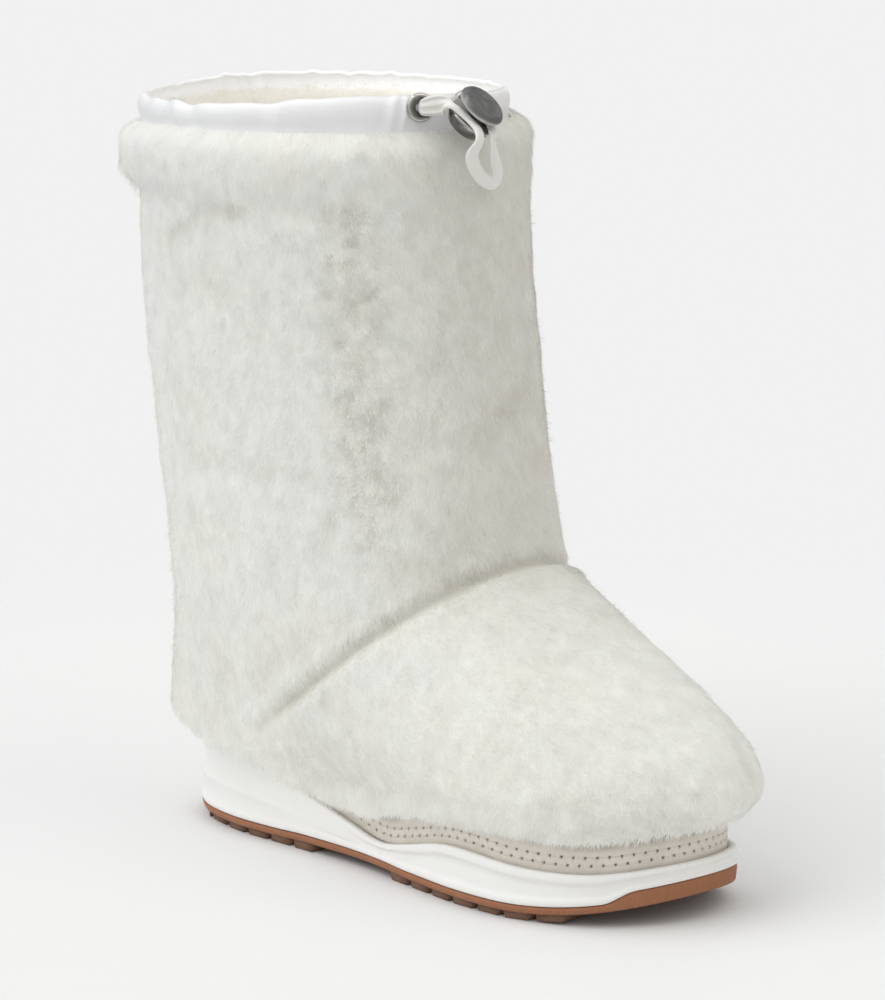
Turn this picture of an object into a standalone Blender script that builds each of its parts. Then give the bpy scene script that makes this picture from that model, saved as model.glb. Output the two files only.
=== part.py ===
"""Right-foot shearling snow boot: lugged outsole, cup midsole, stitched rand, insole, one hollow fur upper,
gathered collar, two eyelets, drawcord and a spring cord lock.

Every length below is in millimetres from the back of the sole: x forward to the toe, y to the wearer's left
(the medial side of a right foot), z up from the floor. Meshes become metres, centred, when they are made.
"""

import math
from collections import namedtuple

import bmesh
import bpy
import numpy as np
from mathutils import Matrix, Vector

OBJECT = "shearling_snow_boot"
METRE = 0.001

# Driving sizes
SOLE_LENGTH = 285.0
BALL_HALF = 52.0
LUG_HEIGHT = 3.2
OUTSOLE_BAND = 3.3
BUMPER_RISE = 4.0
BUMPER_STEP = (264.0, 274.0)
BUMPER_SLACK = 0.8
TOE_SPRING = 8.5
TOE_SPRING_FROM = 218.0
ARCH_RISE = 0.6
ARCH = (92.0, 142.0)
WALL = 10.0
CLEAR = 0.35
AROUND = 40
SIDE_AT = 0.4
INSTEP_AT = 0.8

# Half-widths of the sole to each side at a distance along it
Station = namedtuple("Station", "along lateral medial")
SOLE_STATIONS = [
    Station(4, 15, 14),
    Station(18, 29, 27),
    Station(45, 37, 34),
    Station(85, 38, 34),
    Station(125, 40, 35),
    Station(160, 46, 42),
    Station(195, 51.5, 49),
    Station(225, 51, 53),
    Station(252, 42, 51),
    Station(270, 28, 42),
    Station(281, 10, 27),
]
HEEL_TIP_Y = 0.0
TOE_TIP_Y = 9.0

# Heights along the sole: the midsole's lip and the fur's hem
Level = namedtuple("Level", "along lip hem")
SIDE_LEVELS = [
    Level(-10, 40.0, 40.5),
    Level(30, 39.0, 39.5),
    Level(60, 35.0, 35.5),
    Level(84, 28.5, 30.0),
    Level(110, 20.8, 26.0),
    Level(139, 13.4, 26.5),
    Level(160, 18.2, 33.0),
    Level(184, 24.5, 36.0),
    Level(204, 25.0, 38.0),
    Level(230, 22.8, 38.5),
    Level(250, 22.2, 36.5),
    Level(266, 22.8, 36.5),
    Level(280, 25.5, 39.5),
    Level(300, 28.5, 41.0),
]
FLOOR_HEEL = 16.0
FLOOR_TOE = 12.5

# Rings of the fur surface: heights at the back, the side, the instep and the front, the ends along x,
# the half-width, and how far the plan follows the sole outline (1) or an ellipse (0)
Ring = namedtuple("Ring", "z_back z_side z_instep z_front x_back x_front half foot")
FOOT_RINGS = [
    Ring(35, 35, 44, 48, -9, 296, 60, 1.00),
    Ring(36, 38, 53, 62, -10, 290, 61.5, 1.00),
    Ring(37, 41, 61, 77, -10.5, 274, 62.5, 0.97),
    Ring(38, 44, 71, 93, -11, 250, 63, 0.92),
    Ring(39, 46.5, 81, 111, -11.5, 222, 63, 0.84),
    Ring(40, 49, 92, 125, -11.5, 200, 63, 0.74),
]
SEAM_RING = Ring(41, 51, 103, 136, -11.5, 181.5, 63.5, 0.64)
SHAFT_RINGS = [
    Ring(55, 66, 115, 146, -11, 179, 65, 0.50),
    Ring(84, 93, 133, 159, -7, 178.5, 67, 0.32),
    Ring(120, 126, 156, 176, -7, 177.5, 69, 0.16),
    Ring(165, 168, 186, 199, -12, 174.5, 71, 0.05),
    Ring(212, 214, 222, 228, -17.5, 170.5, 72.5, 0.00),
    Ring(256, 259, 262, 264, -21, 166, 73.5, 0.00),
    Ring(278, 282, 284, 285, -22, 164, 73, 0.00),
    Ring(291, 297, 300, 301, -31.5, 163.5, 76.5, 0.00),
    Ring(302, 309, 312, 313, -31, 162, 76, 0.00),
    Ring(307.5, 315, 318, 319, -25, 156, 71, 0.00),
]
RING_STEPS = [2] * 7 + [1] * 6 + [2] * 3

# Share of the wall at the rolled edge's last rings
EDGE_SHARES = [0.95, 0.8, 0.6, 0.42, 0.28]

# Collar: how far it tucks down (rings), stands up and gathers; rows go up its outside
COLLAR_WALL = 2.4
COLLAR_TUCK = 5
COLLAR_GATHER = 0.7
COLLAR_GATHERS = 11
# How high the collar stands above the fur's edge, at angles round it from the front by the medial side
Rise = namedtuple("Rise", "degrees height")
COLLAR_RISES = [
    Rise(-160, 15.0), Rise(-125, 12.4), Rise(-95, 11.2), Rise(-70, 13.4), Rise(-45, 16.8), Rise(-20, 16.3),
    Rise(-4, 15.8), Rise(45, 12.4), Rise(88, 11.0), Rise(120, 12.7), Rise(158, 16.6),
]
CollarRow = namedtuple("CollarRow", "rise out gather")
COLLAR_ROWS = [
    CollarRow(0.25, -0.4, 0.0),
    CollarRow(0.50, 0.2, 0.6),
    CollarRow(0.72, 0.2, 1.0),
    CollarRow(0.90, -0.7, 1.0),
    CollarRow(1.00, -2.4, 1.0),
]

# Eyelets in the collar, the cord lock before them and its cord
HARDWARE_AT = math.radians(-12)
EYELET_LATERAL_AT = math.radians(-20.5)
EYELET_MEDIAL_AT = math.radians(-3.5)
EYELET_ROW = COLLAR_TUCK + 2
EYELET_HOLE = 3.4
EYELET_STEPS = 14
# Turned profiles: (radius, height) up the outside
EYELET_PROFILE = [
    (2.2, -3.4), (3.0, -3.4), (3.0, 0.4), (6.0, 0.4), (6.2, 0.9), (5.6, 1.7), (4.2, 1.9), (2.6, 1.5),
    (2.2, 0.8),
]
LOCK_CENTRE = (169.0, -13.8, 325.4)
LOCK_AXIS = (0.656, 0.2, 0.729)
LOCK_BODY_PROFILE = [
    (0, -8.2), (4.5, -7.9), (8.0, -6.2), (9.8, -3.4), (10.4, -1.6), (10.4, -0.4), (10.0, 0),
    (2.0, 0), (2.0, -6.6), (0, -6.6),
]
LOCK_BUTTON_PROFILE = [
    (0, -4.2), (1.7, -4.2), (1.7, 4.6), (9.6, 4.6), (10.4, 5.4), (10.4, 6.8), (9.2, 8.4), (8.2, 8.6),
    (7.6, 8.3), (0, 8.0),
]
CORD_WIDTH = 5.6
CORD_THICK = 2.2
CORD_FROM_EYELET = 0.6
CORD_STRAIGHT = 4.0
CORD_BUNCHED = 3.6
# The cord's way over the lock's plate from each eyelet: places across the plate, along it and above it
Over = namedtuple("Over", "side run above")
LATERAL_WAY = [
    Over(-9.2, -11.2, -3.4), Over(-11.2, -6.4, 1.45), Over(-8.6, -1.0, 1.45), Over(-7.6, 4.0, 1.45),
    Over(-8.2, 8.4, 1.45), Over(-9.8, 12.0, -0.6),
]
MEDIAL_WAY = [
    Over(10.9, -6.4, 1.45), Over(7.2, -1.5, 1.45), Over(5.0, 4.0, 1.45), Over(2.4, 9.4, 1.45),
    Over(-0.4, 13.4, -0.4),
]
LOOP_POINTS = [
    (176, -21, 310.9), (172.8, -16.2, 304.6), (170.5, -9, 298.7), (169.8, -2.4, 296.4), (171, -0.8, 300.9),
    (174.2, -6, 307.9),
]

HEM_LIP = 3.0
HEM_OUT = 4.5
SEAM_DEPTH = 2.4


def smoothstep(lo, hi, x):
    t = np.clip((np.asarray(x, float) - lo) / (hi - lo), 0, 1)
    return t * t * (3 - 2 * t)


def between(p0, p1, p2, p3, t):
    """A smooth curve's point a share t of the way from p1 to p2, with its neighbours p0 and p3."""
    linear = p2 - p0
    square = 2 * p0 - 5 * p1 + 4 * p2 - p3
    cube = 3 * (p1 - p2) + p3 - p0
    return p1 + 0.5 * t * (linear + t * (square + t * cube))


def closed_spline(points, steps=12):
    """Dense points of a smooth closed curve through the given ones."""
    p = np.asarray(points, float)
    before, after, beyond = np.roll(p, 1, 0), np.roll(p, -1, 0), np.roll(p, -2, 0)
    t = np.linspace(0, 1, steps, endpoint=False)[None, :, None]
    curve = between(*(q[:, None, :] for q in (before, p, after, beyond)), t)
    return curve.reshape(-1, p.shape[1])


def spread(path, count):
    """Points at even distances along an open path, both ends kept."""
    run = np.concatenate([[0], np.cumsum(np.linalg.norm(np.diff(path, axis=0), axis=1))])
    at = np.linspace(0, run[-1], count)
    return np.stack([np.interp(at, run, path[:, k]) for k in range(path.shape[1])], 1)


def sole_outline(count):
    """The sole's plan, from the toe tip round the medial side, the heel and the lateral side."""
    medial = [(s.along, s.medial) for s in reversed(SOLE_STATIONS)]
    lateral = [(s.along, -s.lateral) for s in SOLE_STATIONS]
    steps = 12
    dense = closed_spline([(SOLE_LENGTH, TOE_TIP_Y)] + medial + [(0.0, HEEL_TIP_Y)] + lateral, steps)
    heel = (len(medial) + 1) * steps
    first = spread(dense[: heel + 1], count // 2 + 1)
    second = spread(np.vstack([dense[heel:], dense[:1]]), count // 2 + 1)
    return np.vstack([first[:-1], second[:-1]])


def inset(plan, distance):
    """The plan moved inward by a distance, along its own normals."""
    along = np.roll(plan, -1, 0) - np.roll(plan, 1, 0)
    normal = np.stack([along[:, 1], -along[:, 0]], 1)
    normal /= np.linalg.norm(normal, axis=1, keepdims=True)
    return plan - normal * np.asarray(distance, float).reshape(-1, 1)


def level(column, x):
    """A column of the side table at x, smoothed between its rows."""
    at = [row.along for row in SIDE_LEVELS]
    values = [getattr(row, column) for row in SIDE_LEVELS]
    x = np.asarray(x, float)
    offsets = np.linspace(-9, 9, 7)
    return np.mean([np.interp(x + d, at, values) for d in offsets], axis=0)


def tread_z(x):
    """Underside of the outsole between the lugs."""
    x = np.asarray(x, float)
    arch = ARCH_RISE * smoothstep(ARCH[0] - 22, ARCH[0], x) * (1 - smoothstep(ARCH[1], ARCH[1] + 22, x))
    spring = TOE_SPRING * np.clip((x - TOE_SPRING_FROM) / (SOLE_LENGTH - TOE_SPRING_FROM), 0, 1.2) ** 2.3
    heel = 2.5 * (1 - smoothstep(0, 22, x))
    return LUG_HEIGHT + arch + spring + heel


def band_z(x):
    """Joint between the outsole and the midsole, inside the edge."""
    return tread_z(x) + OUTSOLE_BAND


def edge_z(x):
    """The same joint as it shows at the edge, where the bumper wraps up round the toe."""
    return band_z(x) + BUMPER_RISE * smoothstep(*BUMPER_STEP, x)


def floor_z(x):
    """Top of the midsole inside its lip."""
    x = np.asarray(x, float)
    spring = 0.85 * TOE_SPRING * np.clip((x - TOE_SPRING_FROM) / (SOLE_LENGTH - TOE_SPRING_FROM), 0, 1.2) ** 2
    return FLOOR_HEEL + (FLOOR_TOE - FLOOR_HEEL) * smoothstep(60, 190, x) + spring


def cubic(t, at, values):
    """The cubic through four points."""
    total = 0
    for j, value in enumerate(values):
        others = [a for k, a in enumerate(at) if k != j]
        total = total + value * math.prod([(t - a) / (at[j] - a) for a in others])
    return total


def ring_points(row, outline):
    """One closed ring of the fur surface."""
    angle = np.linspace(0, 2 * math.pi, len(outline), endpoint=False)
    round_x, round_y = (1 + np.cos(angle)) / 2, np.sin(angle)
    share = row.foot * outline[:, 0] / SOLE_LENGTH + (1 - row.foot) * round_x
    across = row.foot * outline[:, 1] / BALL_HALF + (1 - row.foot) * round_y
    x = row.x_back + share * (row.x_front - row.x_back)
    z = cubic(share, (0, SIDE_AT, INSTEP_AT, 1), (row.z_back, row.z_side, row.z_instep, row.z_front))
    return np.stack([x, across * row.half, z], 1)


def smooth_rows(rows, steps):
    """Rows between the given ones, on a smooth curve through them: steps from each row to the next."""
    p = np.asarray(rows, float)
    ends = np.vstack([2 * p[0] - p[1], p, 2 * p[-1] - p[-2]])
    made = []
    for k, count in enumerate(np.broadcast_to(steps, len(p) - 1)):
        made += [between(*ends[k : k + 4], t) for t in np.arange(count) / count]
    return made + [p[-1]]


def grid_normals(grid):
    """Outward unit normals of a grid of rings that climbs from the hem."""
    around = np.roll(grid, -1, 1) - np.roll(grid, 1, 1)
    up = np.gradient(grid, axis=0)
    normal = np.cross(around, up)
    return normal / np.linalg.norm(normal, axis=2, keepdims=True)


def fur_grid():
    """Rings of the fur's outer surface from the hem to the top edge."""
    outline = sole_outline(AROUND)
    hem_plan = inset(outline, -HEM_OUT)
    hem_z = level("hem", hem_plan[:, 0])
    hem = np.column_stack([hem_plan, hem_z])
    hem_top = np.column_stack([hem_plan, hem_z + HEM_LIP])
    rows = smooth_rows(FOOT_RINGS + [SEAM_RING] + SHAFT_RINGS, RING_STEPS)
    rings = [ring_points(Ring(*row), outline) for row in rows]
    lowest = hem_top[:, 2] + 1.5
    for k, ring in enumerate(rings):
        ring[:, 2] = np.maximum(ring[:, 2], lowest + 0.7 * k)
    grid = np.array([hem, hem_top] + rings)
    seam = 2 + sum(RING_STEPS[: len(FOOT_RINGS)])
    depth = np.zeros(grid.shape[:2])
    depth[seam] = SEAM_DEPTH * smoothstep(10, 60, grid[seam, :, 0])
    return grid - grid_normals(grid) * depth[:, :, None]


# Objects, materials and modifiers


def make_object(name, points, faces, color, roughness=0.8, metallic=0.0):
    """A mesh object in metres about the frame's origin, with its own material."""
    mesh = bpy.data.meshes.new(name)
    mesh.from_pydata([tuple(p) for p in (np.asarray(points, float) - ORIGIN) * METRE], [], faces)
    obj = bpy.data.objects.new(name, mesh)
    PARTS.objects.link(obj)
    paint(obj, color, roughness, metallic)
    tidy = bmesh.new()
    tidy.from_mesh(mesh)
    bmesh.ops.recalc_face_normals(tidy, faces=tidy.faces)
    tidy.to_mesh(mesh)
    tidy.free()
    return obj


def paint(obj, color, roughness, metallic):
    material = bpy.data.materials.new(obj.name)
    material.use_nodes = True
    shader = material.node_tree.nodes["Principled BSDF"]
    shader.inputs["Base Color"].default_value = (*color, 1)
    shader.inputs["Roughness"].default_value = roughness
    shader.inputs["Metallic"].default_value = metallic
    material.diffuse_color = (*color, 1)
    obj.data.materials.clear()
    obj.data.materials.append(material)


def cutter(obj):
    """Takes a helper out of the part and into the cutters' collection."""
    PARTS.objects.unlink(obj)
    CUTTERS.objects.link(obj)
    obj.hide_render = True
    obj.display_type = "WIRE"
    return obj


def combine(obj, other, operation):
    modifier = obj.modifiers.new(operation.lower() + "_" + other.name, "BOOLEAN")
    modifier.operation = operation
    modifier.solver = "EXACT"
    modifier.object = other


def ring_faces(rings, around):
    """Quads between neighbouring rings of one closed grid."""
    faces = []
    for j in range(rings - 1):
        for k in range(around):
            n = (k + 1) % around
            faces.append((j * around + k, j * around + n, (j + 1) * around + n, (j + 1) * around + k))
    return faces


def ladder_faces(start, around):
    """A cap across a ring that is paired side to side, from the toe tip to the heel tip."""
    half = around // 2
    left = [start + k for k in range(half + 1)]
    right = [start + (around - k) % around for k in range(half + 1)]
    faces = [(left[0], left[1], right[1])]
    for k in range(1, half - 1):
        faces.append((left[k], left[k + 1], right[k + 1], right[k]))
    faces.append((left[half - 1], left[half], right[half - 1]))
    return faces


def stacked(name, plan, layers, color, roughness):
    """A solid of sole rings, each a (distance in, height) of the plan, capped at both ends.

    Quads are split from the inner ring to the outer one, so pieces that share a bent joint stay apart.
    """
    around = len(plan)
    rings = [np.column_stack([inset(plan, d), z]) for d, z in layers]
    faces = []
    for j, (low, high) in enumerate(zip(layers, layers[1:])):
        inward = np.mean(low[0]) >= np.mean(high[0])
        for k in range(around):
            n = (k + 1) % around
            a, b = j * around + k, j * around + n
            c, d = (j + 1) * around + n, (j + 1) * around + k
            faces += [(a, b, c), (a, c, d)] if inward else [(a, b, d), (b, c, d)]
    faces += ladder_faces(0, around) + ladder_faces((len(rings) - 1) * around, around)
    return make_object(name, np.vstack(rings), faces, color, roughness)


def prism(points_low, points_high):
    """Points and faces of a block between two like polygons."""
    n = len(points_low)
    faces = [tuple(range(n)), tuple(range(2 * n - 1, n - 1, -1))]
    faces += [(k, (k + 1) % n, n + (k + 1) % n, n + k) for k in range(n)]
    return list(points_low) + list(points_high), faces


def lathe(name, profile, place, color, roughness, metallic, steps=24):
    """A turned solid: (radius, height) points up the outside, turned about the local z of place."""
    points, faces, rows = [], [], []
    for radius, height in profile:
        if radius == 0:
            rows.append([len(points)])
            points.append(Vector((0, 0, height)))
            continue
        rows.append(list(range(len(points), len(points) + steps)))
        for k in range(steps):
            a = 2 * math.pi * k / steps
            points.append(Vector((radius * math.cos(a), radius * math.sin(a), height)))
    closed = profile[0][0] > 0
    pairs = list(zip(rows, rows[1:])) + ([(rows[-1], rows[0])] if closed else [])
    for low, high in pairs:
        for k in range(steps):
            a, b = low[k % len(low)], low[(k + 1) % len(low)]
            c, d = high[(k + 1) % len(high)], high[k % len(high)]
            faces.append(tuple(dict.fromkeys((a, b, c, d))))
    return make_object(name, [place @ p for p in points], faces, color, roughness, metallic)


def tube(name, path, side_way, width, thick, color, around=8):
    """A flat cord along a path, its broad side along side_way at each point."""
    path = np.asarray(path, float)
    run = np.gradient(path, axis=0)
    run /= np.linalg.norm(run, axis=1, keepdims=True)
    broad = np.asarray(side_way, float) - run * np.sum(run * np.asarray(side_way, float), 1, keepdims=True)
    broad /= np.linalg.norm(broad, axis=1, keepdims=True)
    thin = np.cross(run, broad)
    angle = np.linspace(0, 2 * math.pi, around, endpoint=False)
    half = np.broadcast_to(np.asarray(width, float) / 2, len(path))
    ring = broad[:, None] * (np.cos(angle)[None, :, None] * half[:, None, None])
    ring = ring + thin[:, None] * (np.sin(angle)[None, :, None] * thick / 2)
    points = (path[:, None] + ring).reshape(-1, 3)
    faces = ring_faces(len(path), around)
    last = (len(path) - 1) * around
    faces += [tuple(range(around - 1, -1, -1)), tuple(range(last, last + around))]
    return make_object(name, points, faces, color, 0.9)


# Sole


def build_outsole():
    plan = sole_outline(52)
    x = plan[:, 0]
    layers = [
        (6.0, tread_z(x)),
        (1.6, tread_z(x)),
        (0.7, tread_z(x) + 0.9),
        (0.2, edge_z(x) - 0.8),
        (0.9, edge_z(x)),
        (3.2, edge_z(x)),
        (7.0, band_z(x)),
    ]
    sole = stacked("outsole", plan, layers, (0.50, 0.30, 0.14), 0.6)
    lugs = lug_blocks()
    combine(sole, lugs, "UNION")
    return sole


# Rows of lugs along each side and across the middle, in runs along the sole
LugRun = namedtuple("LugRun", "start end pitch gap")
LUG_RUNS = [LugRun(9, 98, 14.8, 3.4), LugRun(149, 252, 14.7, 3.4)]
LUG_EDGE = (1.4, 17.0)
LUG_MIDDLE = 20.5
LUG_LEAST = 10.0


def lug_blocks():
    """All lugs as one mesh of closed blocks that sink into the outsole."""
    medial = np.array([(s.along, s.medial) for s in SOLE_STATIONS])
    lateral = np.array([(s.along, -s.lateral) for s in SOLE_STATIONS])
    points, faces = [], []
    for run in LUG_RUNS:
        for k in range(int(round((run.end - run.start) / run.pitch))):
            x0 = run.start + k * run.pitch
            x1 = x0 + run.pitch - run.gap
            for side, table in ((1, medial), (-1, lateral)):
                edge = np.interp([x0, x1], table[:, 0], table[:, 1])
                far, near = edge - side * LUG_EDGE[0], edge - side * LUG_EDGE[1]
                shape = [(x0, far[0]), (x1, far[1]), (x1, near[1]), (x0, near[0])]
                add_lug(points, faces, shape)
            inner = np.interp([x0, x1], medial[:, 0], medial[:, 1]) - LUG_MIDDLE
            outer = np.interp([x0, x1], lateral[:, 0], lateral[:, 1]) + LUG_MIDDLE
            if min(inner - outer) < LUG_LEAST:
                continue
            middle = (inner + outer) / 2
            reach = run.pitch * 0.32
            shape = [(x0, outer[0]), (x0 + reach, middle[0]), (x0, inner[0])]
            shape += [(x1, inner[1]), (x1 + reach, middle[1]), (x1, outer[1])]
            add_lug(points, faces, shape)
    return cutter(make_object("lugs", points, faces, (0.5, 0.3, 0.14)))


def add_lug(points, faces, shape):
    shape = np.asarray(shape, float)
    middle = shape.mean(0)
    foot = middle + (shape - middle) * 0.93
    spring = tread_z(shape[:, 0]) - LUG_HEIGHT
    flat = np.where(shape[:, 0] < TOE_SPRING_FROM, 0.0, spring)
    low = np.column_stack([foot, flat])
    high = np.column_stack([shape, tread_z(shape[:, 0]) + 1.4])
    block, sides = prism(low, high)
    start = len(points)
    points += [tuple(p) for p in block]
    faces += [tuple(start + i for i in face) for face in sides]


MIDSOLE_LIP = 3.6
MIDSOLE_STEP = 1.3


def build_midsole():
    plan = sole_outline(52)
    x = plan[:, 0]
    low, lip = edge_z(x) + CLEAR, level("lip", x)
    step = MIDSOLE_STEP * smoothstep(70, 140, x)
    waist = np.clip((lip - low) / 14.0, 0.45, 1.0)
    layers = [
        (7.0, band_z(x) + CLEAR + BUMPER_SLACK * smoothstep(BUMPER_STEP[0] - 12, BUMPER_STEP[0], x)),
        (3.4, low),
        (0.9, low),
        (0.0, low + 0.9 * waist),
        (0.0, low + 2.9 * waist),
        (step, low + 3.7 * waist),
        (step + 0.2, lip - 4.8 * waist),
        (0.3, lip - 3.9 * waist),
        (0.4, lip - 0.8),
        (1.1, lip),
        (MIDSOLE_LIP - 0.4, lip),
        (MIDSOLE_LIP, np.minimum(lip - 0.5, floor_z(x) + 0.4)),
        (MIDSOLE_LIP + 0.6, np.minimum(lip - 0.9, floor_z(x))),
        (12.0, np.minimum(lip - 0.9, floor_z(x))),
    ]
    return stacked("midsole", plan, layers, (0.86, 0.86, 0.85), 0.55)


RAND_THICK = 1.8
RAND_UNDER = 0.6


def build_rand():
    plan = sole_outline(52)
    x = plan[:, 0]
    foot = np.minimum(level("lip", x) - 0.9, floor_z(x)) + CLEAR + 0.25
    top = level("hem", x) - RAND_UNDER
    out = MIDSOLE_LIP + 0.6 + 0.2
    layers = [(out, foot), (out, top), (out + RAND_THICK, top), (out + RAND_THICK, foot)]
    rings = [np.column_stack([inset(plan, d), z]) for d, z in layers]
    around = len(plan)
    faces = ring_faces(len(rings), around)
    last = (len(rings) - 1) * around
    for k in range(around):
        n = (k + 1) % around
        faces.append((last + k, last + n, n, k))
    return make_object("rand", np.vstack(rings), faces, (0.72, 0.68, 0.62), 0.6)


INSOLE_THICK = 4.0


def build_insole():
    plan = sole_outline(44)
    x = plan[:, 0]
    low = np.minimum(level("lip", x) - 0.9, floor_z(x)) + CLEAR + 0.25
    out = MIDSOLE_LIP + 0.8 + RAND_THICK + 0.5
    layers = [(14.0, low), (out, low), (out, low + INSOLE_THICK), (14.0, low + INSOLE_THICK)]
    return stacked("insole", plan, layers, (0.85, 0.82, 0.75), 0.95)


# Upper


def build_upper(grid):
    points = grid.reshape(-1, 3)
    upper = make_object("upper", points, ring_faces(len(grid), AROUND), (0.84, 0.82, 0.78), 1.0)
    shell = upper.modifiers.new("wall", "SOLIDIFY")
    shell.thickness = WALL * METRE
    shell.offset = -1
    thin = upper.vertex_groups.new(name="wall_share")
    for j, share in enumerate(wall_shares(len(grid))):
        thin.add([j * AROUND + k for k in range(AROUND)], share, "REPLACE")
    shell.vertex_group = thin.name
    return upper


def wall_shares(rings):
    """Share of the wall's thickness at each ring: full up the shaft, thinning over the rolled edge."""
    return [1.0] * (rings - len(EDGE_SHARES)) + EDGE_SHARES


def plan_normals(ring):
    """Level outward unit normals of one ring."""
    along = np.roll(ring, -1, 0) - np.roll(ring, 1, 0)
    normal = np.stack([along[:, 1], -along[:, 0], np.zeros(len(ring))], 1)
    return normal / np.linalg.norm(normal, axis=1, keepdims=True)


def collar_rise(angle):
    """Height of the collar's rim above the fur's edge at an angle round it, smoothed between the rows."""
    at = [row.degrees for row in COLLAR_RISES]
    heights = [row.height for row in COLLAR_RISES]
    offsets = np.linspace(-9, 9, 7)
    return np.mean([np.interp(np.degrees(angle) + d, at, heights, period=360) for d in offsets], axis=0)


def collar_grid(grid):
    """Rings of the collar's outer side: tucked against the wall's inside, then standing above the fur."""
    shares = np.array(wall_shares(len(grid)))
    inside = grid - grid_normals(grid) * (WALL * shares[:, None, None] + CLEAR + 0.15)
    tucked = list(inside[-COLLAR_TUCK:])
    base = tucked[-1]
    out = plan_normals(base)
    angle = np.linspace(0, 2 * math.pi, AROUND, endpoint=False)
    rise = collar_rise(angle)
    apart = np.abs((angle - HARDWARE_AT + math.pi) % (2 * math.pi) - math.pi)
    gather = COLLAR_GATHER * np.cos(COLLAR_GATHERS * angle) * smoothstep(0.45, 0.8, apart)
    standing = []
    for row in COLLAR_ROWS:
        move = out * (row.out + gather * row.gather)[:, None]
        standing.append(base + move + np.outer(rise * row.rise, (0, 0, 1)))
    return np.array(tucked + standing)


def build_collar(grid):
    points = grid.reshape(-1, 3)
    collar = make_object("collar", points, ring_faces(len(grid), AROUND), (0.88, 0.88, 0.92), 0.35)
    shell = collar.modifiers.new("cloth", "SOLIDIFY")
    shell.thickness = COLLAR_WALL * METRE
    shell.offset = -1
    return collar


def on_grid(grid, row, angle):
    """A point of a ring grid and its outward direction, at a whole row and any angle."""
    at = (angle % (2 * math.pi)) / (2 * math.pi) * grid.shape[1]
    k, part = int(at), at - int(at)
    normals = grid_normals(grid)
    n = (k + 1) % grid.shape[1]
    point = grid[row, k] * (1 - part) + grid[row, n] * part
    normal = normals[row, k] * (1 - part) + normals[row, n] * part
    return Vector(point), Vector(normal).normalized()


def facing(point, normal):
    """A placement with its z along a direction."""
    return Matrix.Translation(point) @ normal.to_track_quat("Z", "Y").to_matrix().to_4x4()


# Eyelets, cord lock and drawcord


def build_eyelets(collar, grid):
    """Two flanged rings through the collar, and the placement of each."""
    places = []
    for name, angle in (("eyelet_lateral", EYELET_LATERAL_AT), ("eyelet_medial", EYELET_MEDIAL_AT)):
        point, normal = on_grid(grid, EYELET_ROW, angle)
        place = facing(point, normal)
        drill = [(0, -6), (EYELET_HOLE, -6), (EYELET_HOLE, 6), (0, 6)]
        hole = lathe(name + "_hole", drill, place, (1, 1, 1), 1, 0, EYELET_STEPS)
        combine(collar, cutter(hole), "DIFFERENCE")
        lathe(name, EYELET_PROFILE, place, (0.25, 0.25, 0.27), 0.3, 1.0, EYELET_STEPS)
        places.append(place)
    return places


def lock_frame():
    """The cord lock's centre and its directions: axis out of the button, run of the cord, and side."""
    axis = Vector(LOCK_AXIS).normalized()
    level_way = Vector((axis.x, axis.y, 0)).normalized()
    run = (level_way * axis.z - Vector((0, 0, 1)) * level_way.dot(axis)).normalized()
    side = Vector((0, 0, 1)).cross(level_way)
    return Vector(LOCK_CENTRE), axis, run, side


def build_lock():
    centre, axis, _, _ = lock_frame()
    place = facing(centre, axis)
    lathe("lock_body", LOCK_BODY_PROFILE, place, (0.22, 0.22, 0.24), 0.25, 1.0)
    lathe("lock_button", LOCK_BUTTON_PROFILE, place, (0.30, 0.30, 0.32), 0.35, 1.0)


def build_drawcord(eyelets):
    """One flat cord: out of one eyelet, through the lock, round a hanging loop, back to the other eyelet."""
    centre, axis, run, side = lock_frame()
    ends = []
    for place in eyelets:
        out = place.to_3x3() @ Vector((0, 0, 1))
        start = place.translation + out * CORD_FROM_EYELET
        ends.append([start, start + out * CORD_STRAIGHT])
    ways = []
    for way in (LATERAL_WAY, MEDIAL_WAY):
        ways.append([centre + side * p.side + run * p.run + axis * p.above for p in way])
    loop = [Vector(p) for p in LOOP_POINTS]
    path = ends[0] + ways[0] + loop + ways[1][::-1] + ends[1][::-1]
    outward = Vector((axis.x, axis.y, 0)).normalized()
    looks = [axis] * len(ways[0]) + [outward] * len(loop) + [axis] * len(ways[1])
    upright = Vector((0, 0, 1))
    ahead = [b - a for a, b in zip(path[1:], path[3:])]
    broad = [look.cross(way).normalized() for look, way in zip(looks, ahead)]
    broad = [upright] * 2 + broad + [upright] * 2
    width = [CORD_BUNCHED] * 2 + [CORD_WIDTH] * len(looks) + [CORD_BUNCHED] * 2
    rows = np.array(smooth_rows([(*p, *b, w) for p, b, w in zip(path, broad, width)], 3))
    tube("drawcord", rows[:, :3], rows[:, 3:6], rows[:, 6], CORD_THICK, (0.85, 0.82, 0.74))


# Start a clean scene
for old in list(bpy.data.objects):
    bpy.data.objects.remove(old)
PARTS = bpy.data.collections.new(OBJECT)
CUTTERS = bpy.data.collections.new("cutters")
bpy.context.scene.collection.children.link(PARTS)
bpy.context.scene.collection.children.link(CUTTERS)

FUR = fur_grid()
COLLAR = collar_grid(FUR)
# The fur is the widest piece, so the middle of its plan is the frame's origin
ORIGIN = np.append((FUR.min((0, 1)) + FUR.max((0, 1)))[:2] / 2, 0.0)
build_outsole()
build_midsole()
build_rand()
build_insole()
build_upper(FUR)
build_drawcord(build_eyelets(build_collar(COLLAR), COLLAR))
build_lock()
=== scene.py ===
"""Looks of the right-foot shearling snow boot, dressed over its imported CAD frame.

Lengths in the tables are in millimetres from the back of the sole, as in the part's source: x forward to the
toe, y to the wearer's left (the medial side), z up from the floor. Meshes become metres in the CAD's frame.
"""

import math
from collections import namedtuple

import bpy
import numpy as np
from mathutils import Matrix, Vector


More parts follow.
